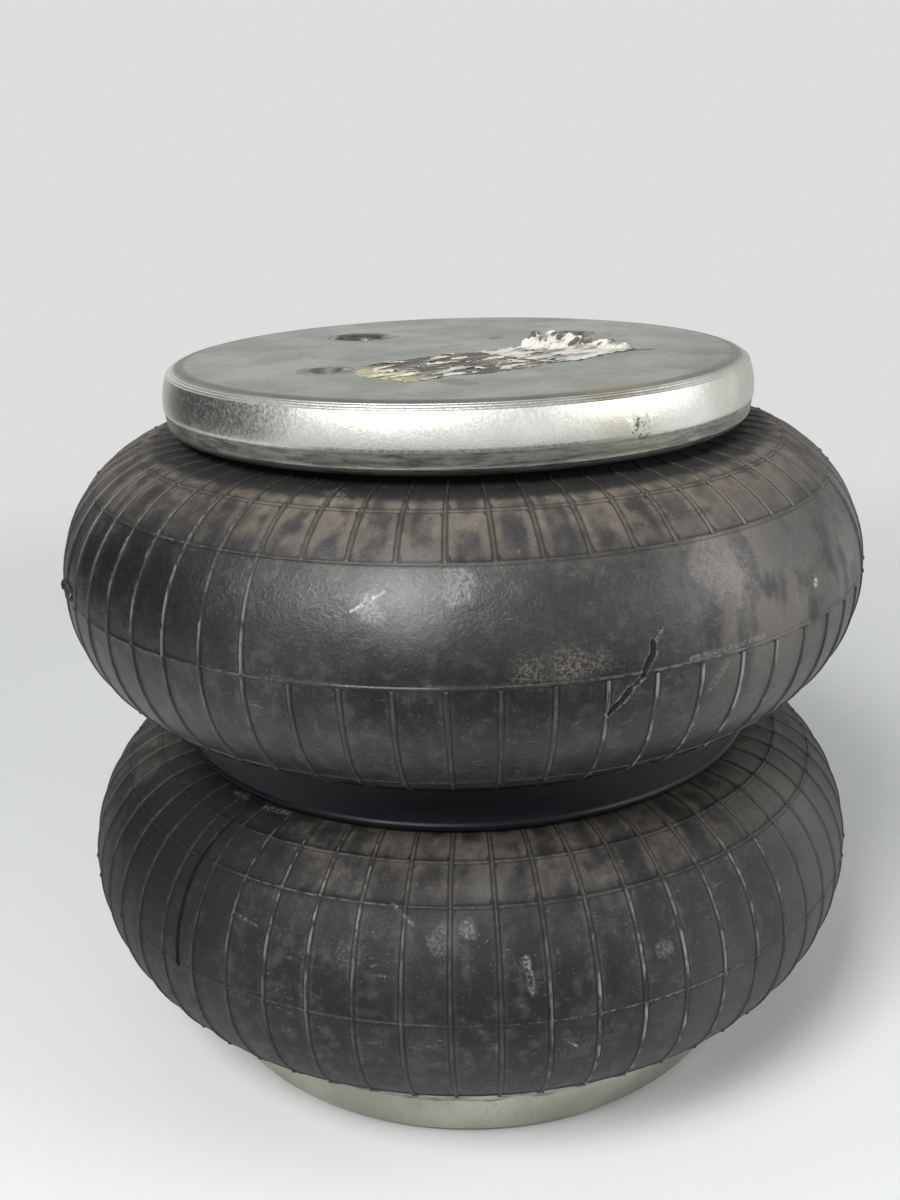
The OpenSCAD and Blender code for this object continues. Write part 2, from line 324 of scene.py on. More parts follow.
def to_top(points):
    """The same section, mirrored from the bottom of the spring to its top."""
    return [(r, spring_h - z) for r, z in points]


def turned(points, steps, closed=True, start=0.0):
    """A bmesh of a section (radius, height) spun once round the Z axis."""
    bm = bmesh.new()
    side = Vector((math.cos(start), math.sin(start)))
    verts = [bm.verts.new((r * side.x, r * side.y, z)) for r, z in points]
    pairs = list(zip(verts, verts[1:])) + ([(verts[-1], verts[0])] if closed else [])
    edges = [bm.edges.new(pair) for pair in pairs]
    bmesh.ops.spin(bm, geom=verts + edges, cent=(0, 0, 0), axis=(0, 0, 1), dvec=(0, 0, 0),
                   angle=2 * math.pi, steps=steps, use_merge=True)
    bmesh.ops.remove_doubles(bm, verts=bm.verts[:], dist=0.001)
    bmesh.ops.recalc_face_normals(bm, faces=bm.faces[:])
    return bm


def finished(bm, name, material, body, sharp=32, replaces=()):
    """Scales a bmesh to metres and makes it a piece that rides on a body. It keeps its rest places."""
    bmesh.ops.scale(bm, vec=(MM, MM, MM), verts=bm.verts[:])
    for face in bm.faces:
        face.smooth = True
    mesh = bpy.data.meshes.new(name)
    bm.to_mesh(mesh)
    bm.free()
    mesh.set_sharp_from_angle(angle=math.radians(sharp))
    mesh.materials.append(material)
    rest_place = mesh.attributes.new("rest_place", "FLOAT_VECTOR", "POINT")
    rest_place.data.foreach_set("vector", [c for vert in mesh.vertices for c in vert.co])
    piece = bpy.data.objects.new(name, mesh)
    bpy.context.scene.collection.objects.link(piece)
    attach(piece, body)
    if replaces:
        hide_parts(*replaces)
    print(name, "triangles", sum(len(p.vertices) - 2 for p in mesh.polygons))
    return piece


# %% [markdown]
# ### Floor and backdrop
#
# The floor is a turned section too, a wide disc that curls up at its rim. It is painted matt
# and shows the spring's shadow. Far away it glows in its own pale grey for the camera and for
# reflections alone, which gives an even background without adding any light.

# %% Floor and backdrop
floor_material, tree, shader = new_material("floor_matte_paint", Roughness=0.85)
coords = add(tree, "TexCoord").outputs["Object"]
cloudy = add(tree, "TexNoise", {"Vector": coords, "Scale": 1.4, "Detail": 2.0})
tone = add(tree, "Mix", {0: cloudy, 6: srgb("#dcdedd"), 7: srgb("#e4e6e5")}, data_type="RGBA")
tree.links.new(tone.outputs[2], shader.inputs["Base Color"])
# The backdrop shows as a flat pale grey, and it gives the lamps' level no extra light
path = add(tree, "LightPath").outputs
seen = add(tree, "Math", {0: path["Is Camera Ray"], 1: path["Is Glossy Ray"]}, operation="MAXIMUM")
seen = add(tree, "Math", {0: seen, 1: path["Is Transmission Ray"]}, operation="MAXIMUM")
far_off = add(tree, "VectorMath", {0: coords}, operation="LENGTH").outputs["Value"]
far_off = add(tree, "MapRange", {0: far_off, 1: 0.55, 2: 1.3}, interpolation_type="SMOOTHSTEP")
seen = add(tree, "Math", {0: seen, 1: far_off}, operation="MULTIPLY")
glow = add(tree, "Emission", {"Color": srgb("#dcdedd"), "Strength": 1.0})
both = add(tree, "MixShader", {0: seen, 1: shader, 2: glow})
tree.links.new(both.outputs[0], tree.nodes["Material Output"].inputs["Surface"])

flat_r = 1800
sweep_r = 900
backdrop_h = 2200
sweep = arc(flat_r, sweep_r, sweep_r, sweep_r, -90, 0, 12, 1)
sweep = [(0, 0), (flat_r, 0)] + sweep + [(flat_r + sweep_r, backdrop_h)]
under_spring = 0.2
bm = turned([(r, z - under_spring) for r, z in sweep], 96, closed=False)
bmesh.ops.scale(bm, vec=(MM, MM, MM), verts=bm.verts[:])
turn_in = [f for f in bm.faces if f.normal.dot(Vector((0, 0, 2)) - f.calc_center_median()) < 0]
bmesh.ops.reverse_faces(bm, faces=turn_in)


def staged(bm, name, material):
    """An object that only dresses the studio."""
    mesh = bpy.data.meshes.new(name)
    for face in bm.faces:
        face.smooth = True
    bm.to_mesh(mesh)
    bm.free()
    mesh.materials.append(material)
    prop = bpy.data.objects.new(name, mesh)
    bpy.context.scene.collection.objects.link(prop)
    print(name, "faces", len(mesh.polygons))
    return prop


staged(bm, "floor", floor_material)

# %% Dark cards outside the picture
card_material = new_material("black_card", Base_Color=srgb("#101010"), Roughness=0.9)[0]


def dark_card(name, place, length, width, turn, upright):
    """A dark rectangle in the camera's frame that only reflections show."""
    bm = bmesh.new()
    bmesh.ops.create_grid(bm, x_segments=1, y_segments=1, size=0.5)
    bmesh.ops.scale(bm, vec=(length, width, 1), verts=bm.verts[:])
    lean = Matrix.Rotation(math.pi / 2 if upright else 0, 4, "X")
    stand = Matrix.Translation(place) @ Matrix.Rotation(math.radians(turn), 4, "Z") @ lean
    bmesh.ops.transform(bm, matrix=view_turn @ stand, verts=bm.verts[:])
    card = staged(bm, name, card_material)
    card.visible_camera = False
    card.visible_shadow = False
    card.visible_diffuse = False


dark_card("left_card", (-0.98, 0.1, 0.53), 1.4, 1.0, 78, True)
dark_card("front_mat", (0.0, -0.72, 0.004), 1.5, 0.75, 0, False)

# %% [markdown]
# ## Zinc-plated steel
#
# The plates are pressed from mild steel and electroplated with zinc. On the flat face the
# zinc has gone dull and cloudy, with darker handling stains. The crimping rollers burnished
# the upper part of the rim, so it is brighter and smoother there, and below the roller's edge
# the plating is dull again and specked with dirt. The rim's colours also hold painted light:
# on the top plate the burnished band is paler still as a painted highlight, and the bottom
# plate's rim has darker colours as painted shade. One material holds all three zones. It
# finds them from the distance to the plate's face and to the axis, read from Object
# coordinates, so a plate made at the top or at the bottom only passes the height of its face.
# The top plate was handled and knocked, so its stains are listed apart and laid over the rest.

# %% Dirt on the rim
def rim_dirt(tree, tone, coords, clouds, pits, on_rim, depth):
    """Dark pits in patches, and a dull streaked zone below the roller's edge. Returns tone and pits."""
    pit_mask = add(tree, "MapRange", {0: pits, 1: 0.64, 2: 0.72}, interpolation_type="SMOOTHSTEP")
    patchy = add(tree, "MapRange", {0: clouds, 1: 0.46, 2: 0.64, 3: 0.1, 4: 0.8},
                 interpolation_type="SMOOTHSTEP")
    pit_mask = overlap(tree, pit_mask, patchy, on_rim)
    tone = tint(tree, pit_mask, tone, "#6a6a63")

    # The streaks run round the rim, where the roller passed, so the noise is squeezed along the axis
    squeezed = add(tree, "Mapping", {"Vector": coords, "Scale": (1, 1, 9)})
    streaks = add(tree, "TexNoise", {"Vector": squeezed, "Scale": 60, "Detail": 5.0, "Roughness": 0.65})
    streak_mask = add(tree, "MapRange", {0: streaks, 1: 0.42, 2: 0.64, 3: 0.2, 4: 1.0},
                      interpolation_type="SMOOTHSTEP")
    under = add(tree, "MapRange", {0: depth, 1: 0.0193, 2: 0.0203}, interpolation_type="SMOOTHSTEP")
    under = overlap(tree, under, on_rim, streak_mask)
    tone = tint(tree, under, tone, "#63645f", 0.8)
    specks = add(tree, "MapRange", {0: pits, 1: 0.36, 2: 0.3}, interpolation_type="SMOOTHSTEP")
    tone = tint(tree, overlap(tree, specks, under), tone, "#e6e6df", 0.8)
    return tone, pit_mask


# %% Stains and a knock on the top plate
# Each stain is a line between two places beside the middle of the face, in millimetres
face_stains = [
    ((-0.6, 60.9, 0), (15.1, 66.3, 0), 1.6, "#62635c", 0.6),
    ((42, 19, 0), (45, 20, 0), 3.5, "#6e6f69", 0.6),
    ((5.4, 16.7, 0), (14.8, 13.5, 0), 1.3, "#6a6b65", 0.6),
    ((-60, -66, 0), (-60, -76, 0), 6.0, "#7f807a", 0.5),
    ((52, -64, 0), (62, -71, 0), 2.4, "#62635b", 0.8),
    ((-39.4, -130.4, -1.5), (-10.2, -131.8, -1.5), 5.5, "#bba391", 0.4),
]
# A stain on the rim is a place, how far it reaches and its colour. The wide brown one at the right is partly
# a water stain and partly painted shade, where the rim shows less light
rim_stains_and_painted_shade = [((72, -124, -12), 42, "#94917f"), ((-26, -141, -8), 24, "#b7b29c")]


def used_surface(tree, tone, coords, clouds, mottle, pits):
    """Stains on the face, brown water stains on the rim that are partly painted shade, and a knock: bright
    chips over dark dirt.
    """
    face_place = Vector((0, 0, spring_h))
    for start, end, reach, code, amount in face_stains:
        ends = [(Vector(point) + face_place) * MM for point in (start, end)]
        tone = tint(tree, near_line(tree, coords, mottle, *ends, reach, 1.8), tone, code, amount)
    # Water stains on the rim; the wide one at the right is also painted shade
    for place, reach, code in rim_stains_and_painted_shade:
        stained = near_place(tree, coords, clouds, (Vector(place) + face_place) * MM, reach, 1.4, True)
        tone = tint(tree, stained, tone, code, 0.6)
    knock_place = Vector((-23.0, -141.5, spring_h - 9)) * MM
    chipped = add(tree, "MapRange", {0: mottle, 1: 0.54, 2: 0.6}, interpolation_type="SMOOTHSTEP")
    chips = overlap(tree, near_place(tree, coords, mottle, knock_place, 9, 1.0), chipped)
    tone = tint(tree, chips, tone, "#fbfaf4", 0.9)
    dirt_place = Vector((-23.0, -141.5, spring_h - 16)) * MM
    dirty = add(tree, "MapRange", {0: pits, 1: 0.52, 2: 0.6}, interpolation_type="SMOOTHSTEP")
    dirt = overlap(tree, near_place(tree, coords, mottle, dirt_place, 6, 1.5), dirty)
    return tint(tree, dirt, tone, "#2d2b26", 0.8)


# %% Zinc plate material
def zinc_plate(name, face_z, rim_colours_with_painted_light, marked):
    """Dull zinc on the face, a burnished band on the rim, dull again under it. The two rim colours carry
    painted light: a painted highlight on the top plate, painted shade on the bottom one.
    """
    material, tree, shader = new_material(name, Metallic=1.0)
    coords = add(tree, "TexCoord").outputs["Object"]
    parts = add(tree, "SeparateXYZ", {0: coords})
    flat = add(tree, "VectorMath", {0: coords, 1: (1, 1, 0)}, operation="MULTIPLY")
    radius = add(tree, "VectorMath", {0: flat}, operation="LENGTH").outputs["Value"]
    depth = add(tree, "Math", {0: parts.outputs["Z"], 1: face_z * MM}, operation="SUBTRACT")
    depth = add(tree, "Math", {0: depth}, operation="ABSOLUTE")

    # In noise scales per metre: clouds about 30 mm wide, mottling 4 mm, pits 1.5 mm and grain 0.7 mm
    clouds = add(tree, "TexNoise", {"Vector": coords, "Scale": 26, "Detail": 4.0, "Roughness": 0.6})
    mottle = add(tree, "TexNoise", {"Vector": coords, "Scale": 210, "Detail": 3.0, "Roughness": 0.65})
    pits = add(tree, "TexNoise", {"Vector": coords, "Scale": 620, "Detail": 3.0, "Roughness": 0.7})
    grain = add(tree, "TexNoise", {"Vector": coords, "Scale": 1400, "Detail": 2.0})

    cloud_mask = add(tree, "MapRange", {0: clouds, 1: 0.35, 2: 0.68}, interpolation_type="SMOOTHSTEP")
    face_tone = add(tree, "Mix", {0: cloud_mask, 6: srgb("#aaaba4"), 7: srgb("#c2c4bf")}, data_type="RGBA")
    mottle_mask = add(tree, "MapRange", {0: mottle, 1: 0.56, 2: 0.74, 4: 0.35},
                      interpolation_type="SMOOTHSTEP")
    face_tone = tint(tree, mottle_mask, face_tone, "#777872")

    # The burnished band runs from the crimp line, at a radius of 135.5 mm, to the roller's edge
    on_rim = add(tree, "MapRange", {0: radius, 1: 0.1355, 2: 0.1395}, interpolation_type="SMOOTHSTEP")
    ragged = add(tree, "Math", {0: mottle, 1: 0.0012, 2: depth}, operation="MULTIPLY_ADD")
    above_step = add(tree, "MapRange", {0: ragged, 1: 0.0196, 2: 0.0204, 3: 1.0, 4: 0.0},
                     interpolation_type="SMOOTHSTEP")
    burnished = overlap(tree, on_rim, above_step)
    # The rim colours hold painted light. On the top plate they are paler, as a painted highlight. On the
    # bottom plate they are darker, as painted shade.
    dull_rim, bright_rim = (srgb(code) for code in rim_colours_with_painted_light)
    rim_tone = add(tree, "Mix", {0: cloud_mask, 6: dull_rim, 7: bright_rim}, data_type="RGBA")
    tone = add(tree, "Mix", {0: burnished, 6: face_tone, 7: rim_tone}, data_type="RGBA")
    tone, pit_mask = rim_dirt(tree, tone, coords, clouds, pits, on_rim, depth)

    # The shoulder between the face and the roller marks is dull and dirty
    shoulder = add(tree, "MapRange", {0: radius, 1: 0.1312, 2: 0.1335}, interpolation_type="SMOOTHSTEP")
    before_marks = add(tree, "MapRange", {0: radius, 1: 0.1372, 2: 0.1362}, interpolation_type="SMOOTHSTEP")
    tone = tint(tree, overlap(tree, shoulder, before_marks), tone, "#70716c", 0.5)
    if marked:
        tone = used_surface(tree, tone, coords, clouds, mottle, pits)

    dull = add(tree, "MapRange", {0: mottle, 1: 0.3, 2: 0.7, 3: 0.44, 4: 0.58})
    polish = add(tree, "MapRange", {0: pits, 1: 0.3, 2: 0.7, 3: 0.28, 4: 0.46})
    rough = add(tree, "Mix", {0: burnished, 2: dull, 3: polish}, data_type="FLOAT")
    rough = add(tree, "Mix", {0: pit_mask, 2: rough, 3: 0.8}, data_type="FLOAT")
    relief = add(tree, "Math", {0: pits, 1: 1.2, 2: grain}, operation="MULTIPLY_ADD")
    surfaced(tree, shader, tone, rough, relief, 0.4, 0.00016)
    return material


# The top rim's pale colours are partly burnish and partly a painted highlight. The bottom rim's darker
# colours are painted shade.
zinc_top_with_painted_highlight = zinc_plate("zinc_plated_steel_top_painted_highlight", spring_h, ("#e9eae2", "#fafbf4"), True)
zinc_bottom_with_painted_shade = zinc_plate("zinc_plated_steel_bottom_painted_shade", 0, ("#a09f93", "#b5b4a8"), False)
print("made", zinc_top_with_painted_highlight.name, zinc_bottom_with_painted_shade.name)

# %% [markdown]
# ## The bead plates
#
# A real bead plate is stamped as a shallow dish, and its rim is rolled inwards round the
# bellows' bead in a crimping press. A turned section is the natural way to model that: the
# section holds the shoulder, three fine roller marks at the crimp line, the bulged wall with
# the edge that the roller left on it, and the curl. The holes for the fittings are cut after
# the spin with a Boolean, and their edges get the small bevel that a punch and deburring
# leave.

# %% Section of a plate
def grooved(points, places, width, depth):
    """Cuts fine V grooves into a section's shoulder, at radii given in millimetres."""
    found = []
    for (r0, z0), (r1, z1) in zip(points, points[1:]):
        found.append((r0, z0))
        for place in places:
            if r0 < place <= r1:
                for offset, sunk in ((-width / 2, 0), (0, depth), (width / 2, 0)):
                    share = (place + offset - r0) / (r1 - r0)
                    found.append((place + offset, z0 + (z1 - z0) * share + sunk))
    return sorted(found + [points[-1]], key=lambda p: p[0])


roller_marks = (137.4, 138.9, 140.3)
roller_edge_z = 19.4
roller_step = 0.35
mark_w = 0.7
mark_depth = 0.32


def plate_section():
    """A plate that lies face down: the face, the shoulder, the wall, the curl and back inside."""
    shoulder = arc(face_r, shoulder_r, shoulder_r, shoulder_r, -90, shoulder_angle - 90, 12)
    wall = arc(wall_centre_r, rim_crest_z, wall_r, wall_r, wall_start, wall_end, 26, 1)
    above = [p for p in wall if p[1] < roller_edge_z - 0.5]
    below = [(r - roller_step, z) for r, z in wall if z > roller_edge_z + 0.3]
    curl = arc(curl_centre_r, curl_z, curl_r, curl_r, wall_end, curl_end, 22, 1)
    curl_inside = arc(curl_centre_r, curl_z, curl_r - sheet, curl_r - sheet, wall_end, curl_end, 14, 1)
    corner = plate_r - sheet - face_r
    inside = arc(face_r, sheet + corner, corner, corner, -90, 0, 8)
    flat = [(0, 0), (30, 0), (60, 0), (100, 0), (face_r - 1.2, 0)]
    flat_inside = [(100, sheet), (60, sheet), (30, sheet), (0, sheet)]
    return (flat + grooved(shoulder, roller_marks, mark_w, mark_depth) + above + below + curl
            + curl_inside[::-1] + [(plate_r - sheet, rim_crest_z)] + inside[::-1] + flat_inside)


section = plate_section()
print("plate section points", len(section))


# %% Cut and bevel the holes
def with_holes(bm, holes, top_z, bottom_z):
    """Cuts round holes (x, y, diameter) through the sheet and bevels their edges."""
    cutters = bmesh.new()
    for x, y, diameter in holes:
        place = Matrix.Translation((x, y, (top_z + bottom_z) / 2))
        bmesh.ops.create_cone(cutters, cap_ends=True, segments=64, radius1=diameter / 2,
                              radius2=diameter / 2, depth=top_z - bottom_z + 4, matrix=place)
    solids = []
    for name, source in (("plate_blank", bm), ("plate_punch", cutters)):
        mesh = bpy.data.meshes.new(name)
        source.to_mesh(mesh)
        source.free()
        solids.append(bpy.data.objects.new(name, mesh))
        bpy.context.scene.collection.objects.link(solids[-1])
    cut = solids[0].modifiers.new("punch", "BOOLEAN")
    cut.operation = "DIFFERENCE"
    cut.object = solids[1]
    cut.solver = "EXACT"
    result = bmesh.new()
    result.from_object(solids[0], bpy.context.evaluated_depsgraph_get())
    for solid in solids:
        bpy.data.objects.remove(solid)
    rims = []
    for edge in result.edges:
        a, b = (v.co for v in edge.verts)
        if abs(a.z - b.z) > 0.01:
            continue
        for x, y, diameter in holes:
            away = [math.hypot(p.x - x, p.y - y) for p in (a, b)]
            if max(abs(d - diameter / 2) for d in away) < 0.05:
                rims.append(edge)
    bmesh.ops.bevel(result, geom=rims, offset=0.4, offset_type="OFFSET", segments=2, profile=0.5,
                    affect="EDGES", material=-1, clamp_overlap=True)
    return result


nut_hole_d = 26.2
inlet_hole_d = 33.2
nut_holes = [(-nut_x, 0, nut_hole_d), (nut_x, 0, nut_hole_d)]
top_holes = nut_holes + [(0, inlet_y, inlet_hole_d)]
plate_steps = 240

bm = with_holes(turned(to_top(section), plate_steps), top_holes, spring_h, spring_h - sheet)
finished(bm, "top_plate", zinc_top_with_painted_highlight, "top", sharp=24, replaces=["top_bead_plate"])
bm = with_holes(turned(section, plate_steps), nut_holes, sheet, 0)
finished(bm, "bottom_plate", zinc_bottom_with_painted_shade, "bottom", sharp=24, replaces=["bottom_bead_plate"])

# %% [markdown]
# ## Turned steel fittings
#
# The blind nuts and the air inlet are turned on a lathe and welded behind the plate, so only
# a round spigot shows, flush with the face. Turning leaves fine rings round each fitting's
# own axis. The ring pattern is a wave along the distance to that axis, and the Mapping node
# moves the pattern's centre there. Grime lies on the fittings in patches, darker and rougher.

# %% Turned steel material
def turned_steel(name, x, y):
    """Lathe-turned, zinc-flashed steel whose rings centre on the axis at (x, y)."""
    material, tree, shader = new_material(name, Metallic=1.0)
    coords = add(tree, "TexCoord").outputs["Object"]
    centred = add(tree, "Mapping", {"Vector": coords, "Location": (-x * MM, -y * MM, 0)})
    # Tool rings 0.35 mm apart: one wave per 0.35 mm is a scale of 2 pi / 20 / 0.00035 per metre
    rings = add(tree, "TexWave", {"Vector": centred, "Scale": 900.0, "Distortion": 0.6, "Detail": 1.0},
                wave_type="RINGS", rings_direction="Z")
    grime = add(tree, "TexNoise", {"Vector": coords, "Scale": 150, "Detail": 4.0, "Roughness": 0.5})
    mask = add(tree, "MapRange", {0: grime, 1: 0.34, 2: 0.66, 3: 0.3, 4: 0.9},
               interpolation_type="SMOOTHSTEP")
    tone = add(tree, "Mix", {0: mask, 6: srgb("#b4b4ac"), 7: srgb("#77756a")}, data_type="RGBA")
    rough = add(tree, "MapRange", {0: grime, 1: 0.3, 2: 0.7, 3: 0.26, 4: 0.55})
    surfaced(tree, shader, tone, rough, rings, 0.4, 0.00004)
    return material


# %% [markdown]
# A fitting is again a turned section, with its hole opened to the thread's major diameter.
# The thread is a ridge of triangular section that climbs one pitch per turn: the spin
# operator does that when `dvec` lifts every step. The ridge is sunk a little in the wall of
# the hole and its two ends are capped, so it is a closed body of its own.

# %% A threaded fitting
def thread_ridge(hole_r, crest, pitch, start_z, end_z):
    """A closed helical ridge on the wall of a hole, from start_z to end_z."""
    steps_per_turn = 40
    turns = (end_z - start_z) / pitch - 1
    steps = int(turns * steps_per_turn)
    bm = bmesh.new()
    outline = [(hole_r + 0.08, 0.04 * pitch), (hole_r + 0.08, 0.96 * pitch), (crest, 0.56 * pitch),
               (crest, 0.44 * pitch)]
    verts = [bm.verts.new((r, 0, start_z + z)) for r, z in outline]
    edges = [bm.edges.new((verts[i], verts[(i + 1) % 4])) for i in range(4)]
    bmesh.ops.spin(bm, geom=verts + edges, cent=(0, 0, 0), axis=(0, 0, 1), steps=steps,
                   dvec=(0, 0, pitch / steps_per_turn), angle=2 * math.pi * steps / steps_per_turn)
    bmesh.ops.holes_fill(bm, edges=[e for e in bm.edges if e.is_boundary], sides=4)
    bmesh.ops.recalc_face_normals(bm, faces=bm.faces[:])
    return bm


def fitting(spigot_d, flange_d, barrel_d, length, hole_d, minor_d, pitch, hole_depth, mouth_d):
    """A fitting whose face lies at height 0 and whose barrel points up."""
    flange = 4
    edge = 0.4
    mouth_depth = (mouth_d - hole_d) / 2
    hole_r = hole_d / 2
    inner = [(hole_r, mouth_depth)]
    if hole_depth < length:
        inner += [(hole_r, hole_depth), (0, hole_depth + 2)]
        outer_end = [(barrel_d / 2 - 1, length), (0, length)]
    else:
        inner += [(hole_r, length)]
        outer_end = [(barrel_d / 2 - 1, length)]
    outer = [(mouth_d / 2 + 0.25, 0), (spigot_d / 2 - edge, 0), (spigot_d / 2, edge),
             (spigot_d / 2, sheet), (flange_d / 2 - edge, sheet), (flange_d / 2, sheet + edge),
             (flange_d / 2, sheet + flange - edge), (flange_d / 2 - edge, sheet + flange)]
    if barrel_d < flange_d - 1:
        outer += [(barrel_d / 2, sheet + flange)]
    outer += [(barrel_d / 2, length - 1)] + outer_end
    bm = turned(inner[::-1] + [(mouth_d / 2, 0.25)] + outer, 72, closed=hole_depth >= length)
    ridge = thread_ridge(hole_r, minor_d / 2, pitch, mouth_depth * 0.4, min(hole_depth, length))
    mesh = bpy.data.meshes.new("ridge")
    ridge.to_mesh(mesh)
    ridge.free()
    bm.from_mesh(mesh)
    bpy.data.meshes.remove(mesh)
    return bm


def placed_fitting(bm, x, y, at_top):
    """Moves a fitting to its hole, and turns it over for the top plate."""
    if at_top:
        bmesh.ops.rotate(bm, verts=bm.verts[:], cent=(0, 0, 0), matrix=Matrix.Rotation(math.pi, 3, "X"))
        bmesh.ops.translate(bm, verts=bm.verts[:], vec=(0, 0, spring_h))
    bmesh.ops.translate(bm, verts=bm.verts[:], vec=(x, y, 0))
    return bm


for level in ("bottom", "top"):
    for side, sign in (("left", -1), ("right", 1)):
        bm = fitting(spigot_d=26, flange_d=33, barrel_d=23, length=fitting_length, hole_d=12, minor_d=10.3,
                     pitch=1.75, hole_depth=16, mouth_d=17.6)
        bm = placed_fitting(bm, sign * nut_x, 0, level == "top")
        steel = turned_steel(f"turned_steel_{level}_{side}", sign * nut_x, 0)
        finished(bm, f"{level}_nut_{side}", steel, level, sharp=30,
                 replaces=[f"{level}_blind_nut_{side}"])

bm = fitting(spigot_d=33, flange_d=42, barrel_d=33, length=fitting_length, hole_d=26.2, minor_d=24.3,
             pitch=1.814, hole_depth=fitting_length, mouth_d=27.6)
bm = placed_fitting(bm, 0, inlet_y, True)
inlet_steel = turned_steel("turned_steel_inlet", 0, inlet_y)
finished(bm, "air_inlet", inlet_steel, "top", sharp=30, replaces=["air_inlet_boss"])

# %% [markdown]
# ## Bellows rubber
#
# The cover is chloroprene rubber filled with carbon black, vulcanised in a steel mould. New
# it is black and faintly glossy. This one is used: a grey bloom covers it, road dust has
# settled on what faces up and stays along the ribs, the middle of each field between two
# ribs is rubbed darker, and the edges of the ribs are worn pale. The rubbed crest of the
# upper convolution is smoother, so it shines. Painted light is laid into the colour as well:
# painted shade at the foot of the ribs, in the gap under the rim, in the cuts and on the
# shaded left side, and painted highlights and glints on the bare field and on some rib tops.
#
# The pattern follows the bellows with two numbers that are worked out from each point's
# place at rest: the place between two ribs, from the angle round the axis, and the height
# over the crest. So the finish stays on the rubber when the bellows flattens. Where the mesh
# has ribs, rib feet and worn tops is stored in attributes when it is made.
#
# The finish is built up as it came about: first the bloom and the rubbing of the rubber
# itself, then dust, blots and the painted shadow under the rim, then patches and smears,
# some of them painted shade and highlights, worn ribs with painted shade at their feet and
# painted glints, and last the cracks with their cores painted black as shade.

# %% Bloom and rubbing
def bloomed(tree, coords, angle, place_z, broad, patch):
    """Black rubber with a grey bloom, pale haze and short rubbing marks that lie along the girth."""
    bloom = add(tree, "MapRange", {0: broad, 1: 0.36, 2: 0.66}, interpolation_type="SMOOTHSTEP")
    tone = add(tree, "Mix", {0: bloom, 6: srgb("#18181b"), 7: srgb("#29292c")}, data_type="RGBA")
    haze = add(tree, "MapRange", {0: patch, 1: 0.46, 2: 0.66, 4: 0.55}, interpolation_type="SMOOTHSTEP")
    tone = tint(tree, haze, tone, "#444442")
    # The marks are 20 mm long and 2 mm wide
    girth = add(tree, "CombineXYZ", {"X": angle, "Y": 0.0, "Z": place_z})
    girth = add(tree, "Mapping", {"Vector": girth, "Scale": (0.06, 1, 1.0), "Rotation": (0, 0.3, 0)})
    marks = add(tree, "TexNoise", {"Vector": girth, "Scale": 420, "Detail": 4.0, "Roughness": 0.7})
    marks = add(tree, "MapRange", {0: marks, 1: 0.58, 2: 0.72, 4: 0.5}, interpolation_type="SMOOTHSTEP")
    return tint(tree, marks, tone, "#6d6c69")


# %% Dust, blots and painted shadow under the rim
def dusty(tree, tone, field, height, patch, blots, uneven, dustiness):
    """Haze beside the ribs, brown dust on what faces up, rubbed fields, dark blots, and a black
    painted shadow in the gap under the rim. Returns the tone and the dust."""
    ribbed = add(tree, "Attribute", attribute_name="ribbed").outputs["Fac"]
    beside = add(tree, "MapRange", {0: field, 1: 0.34, 2: 0.05}, interpolation_type="SMOOTHSTEP")
    tone = tint(tree, overlap(tree, beside, patch, ribbed), tone, "#514f4b", 0.75)

    # The dust is thickest towards the plate or the hoop
    upper_side = add(tree, "MapRange", {0: height, 1: 0.034, 2: 0.064}, interpolation_type="SMOOTHSTEP")
    settled = add(tree, "MapRange", {0: patch, 1: 0.3, 2: 0.62, 3: 0.65, 4: 1.0},
                  interpolation_type="SMOOTHSTEP")
    dust = overlap(tree, upper_side, settled, dustiness)
    tone = tint(tree, dust, tone, "#6a6256")

    # The middle of the fields above the parting line is rubbed dark
    middle = add(tree, "MapRange", {0: field, 1: 0.3, 2: 0.62}, interpolation_type="SMOOTHSTEP")
    over_parting = add(tree, "MapRange", {0: height, 1: 0.0, 2: 0.006}, interpolation_type="SMOOTHSTEP")
    rubbed = overlap(tree, middle, uneven, over_parting, ribbed)
    tone = tint(tree, rubbed, tone, "#17171a", 0.7)
    # Dark wet-looking blots about 20 mm high, where grease kept the bloom away
    blotted = add(tree, "MapRange", {0: blots, 1: 0.54, 2: 0.64}, interpolation_type="SMOOTHSTEP")
    tone = tint(tree, blotted, tone, "#151518", 0.5)
    # Painted shadow: a black band on the bellows in the gap under the rim, where the rim shades it
    painted_gap_shadow = add(tree, "Math", {0: patch, 1: 0.0024, 2: height}, operation="MULTIPLY_ADD")
    painted_gap_shadow = add(tree, "MapRange", {0: painted_gap_shadow, 1: 0.0632, 2: 0.0647}, interpolation_type="SMOOTHSTEP")
    return tint(tree, painted_gap_shadow, tone, "#070708", 0.95), dust


# %% Grain, patches and smears
def speckled_over(tree, tone, coords, broad, fine):
    """Pale rubbed grain, strongest on broad patches, and a little lint."""
    grain = add(tree, "MapRange", {0: fine, 1: 0.58, 2: 0.72}, interpolation_type="SMOOTHSTEP")
    where = add(tree, "MapRange", {0: broad, 1: 0.48, 2: 0.64, 3: 0.06, 4: 0.5},
                interpolation_type="SMOOTHSTEP")
    tone = tint(tree, overlap(tree, grain, where), tone, "#7f7e79")
    lint = add(tree, "TexNoise", {"Vector": coords, "Scale": 950, "Detail": 1.0})
    lint = add(tree, "MapRange", {0: lint, 1: 0.71, 2: 0.76, 4: 0.2}, interpolation_type="SMOOTHSTEP")
    return tint(tree, lint, tone, "#a3a29d")


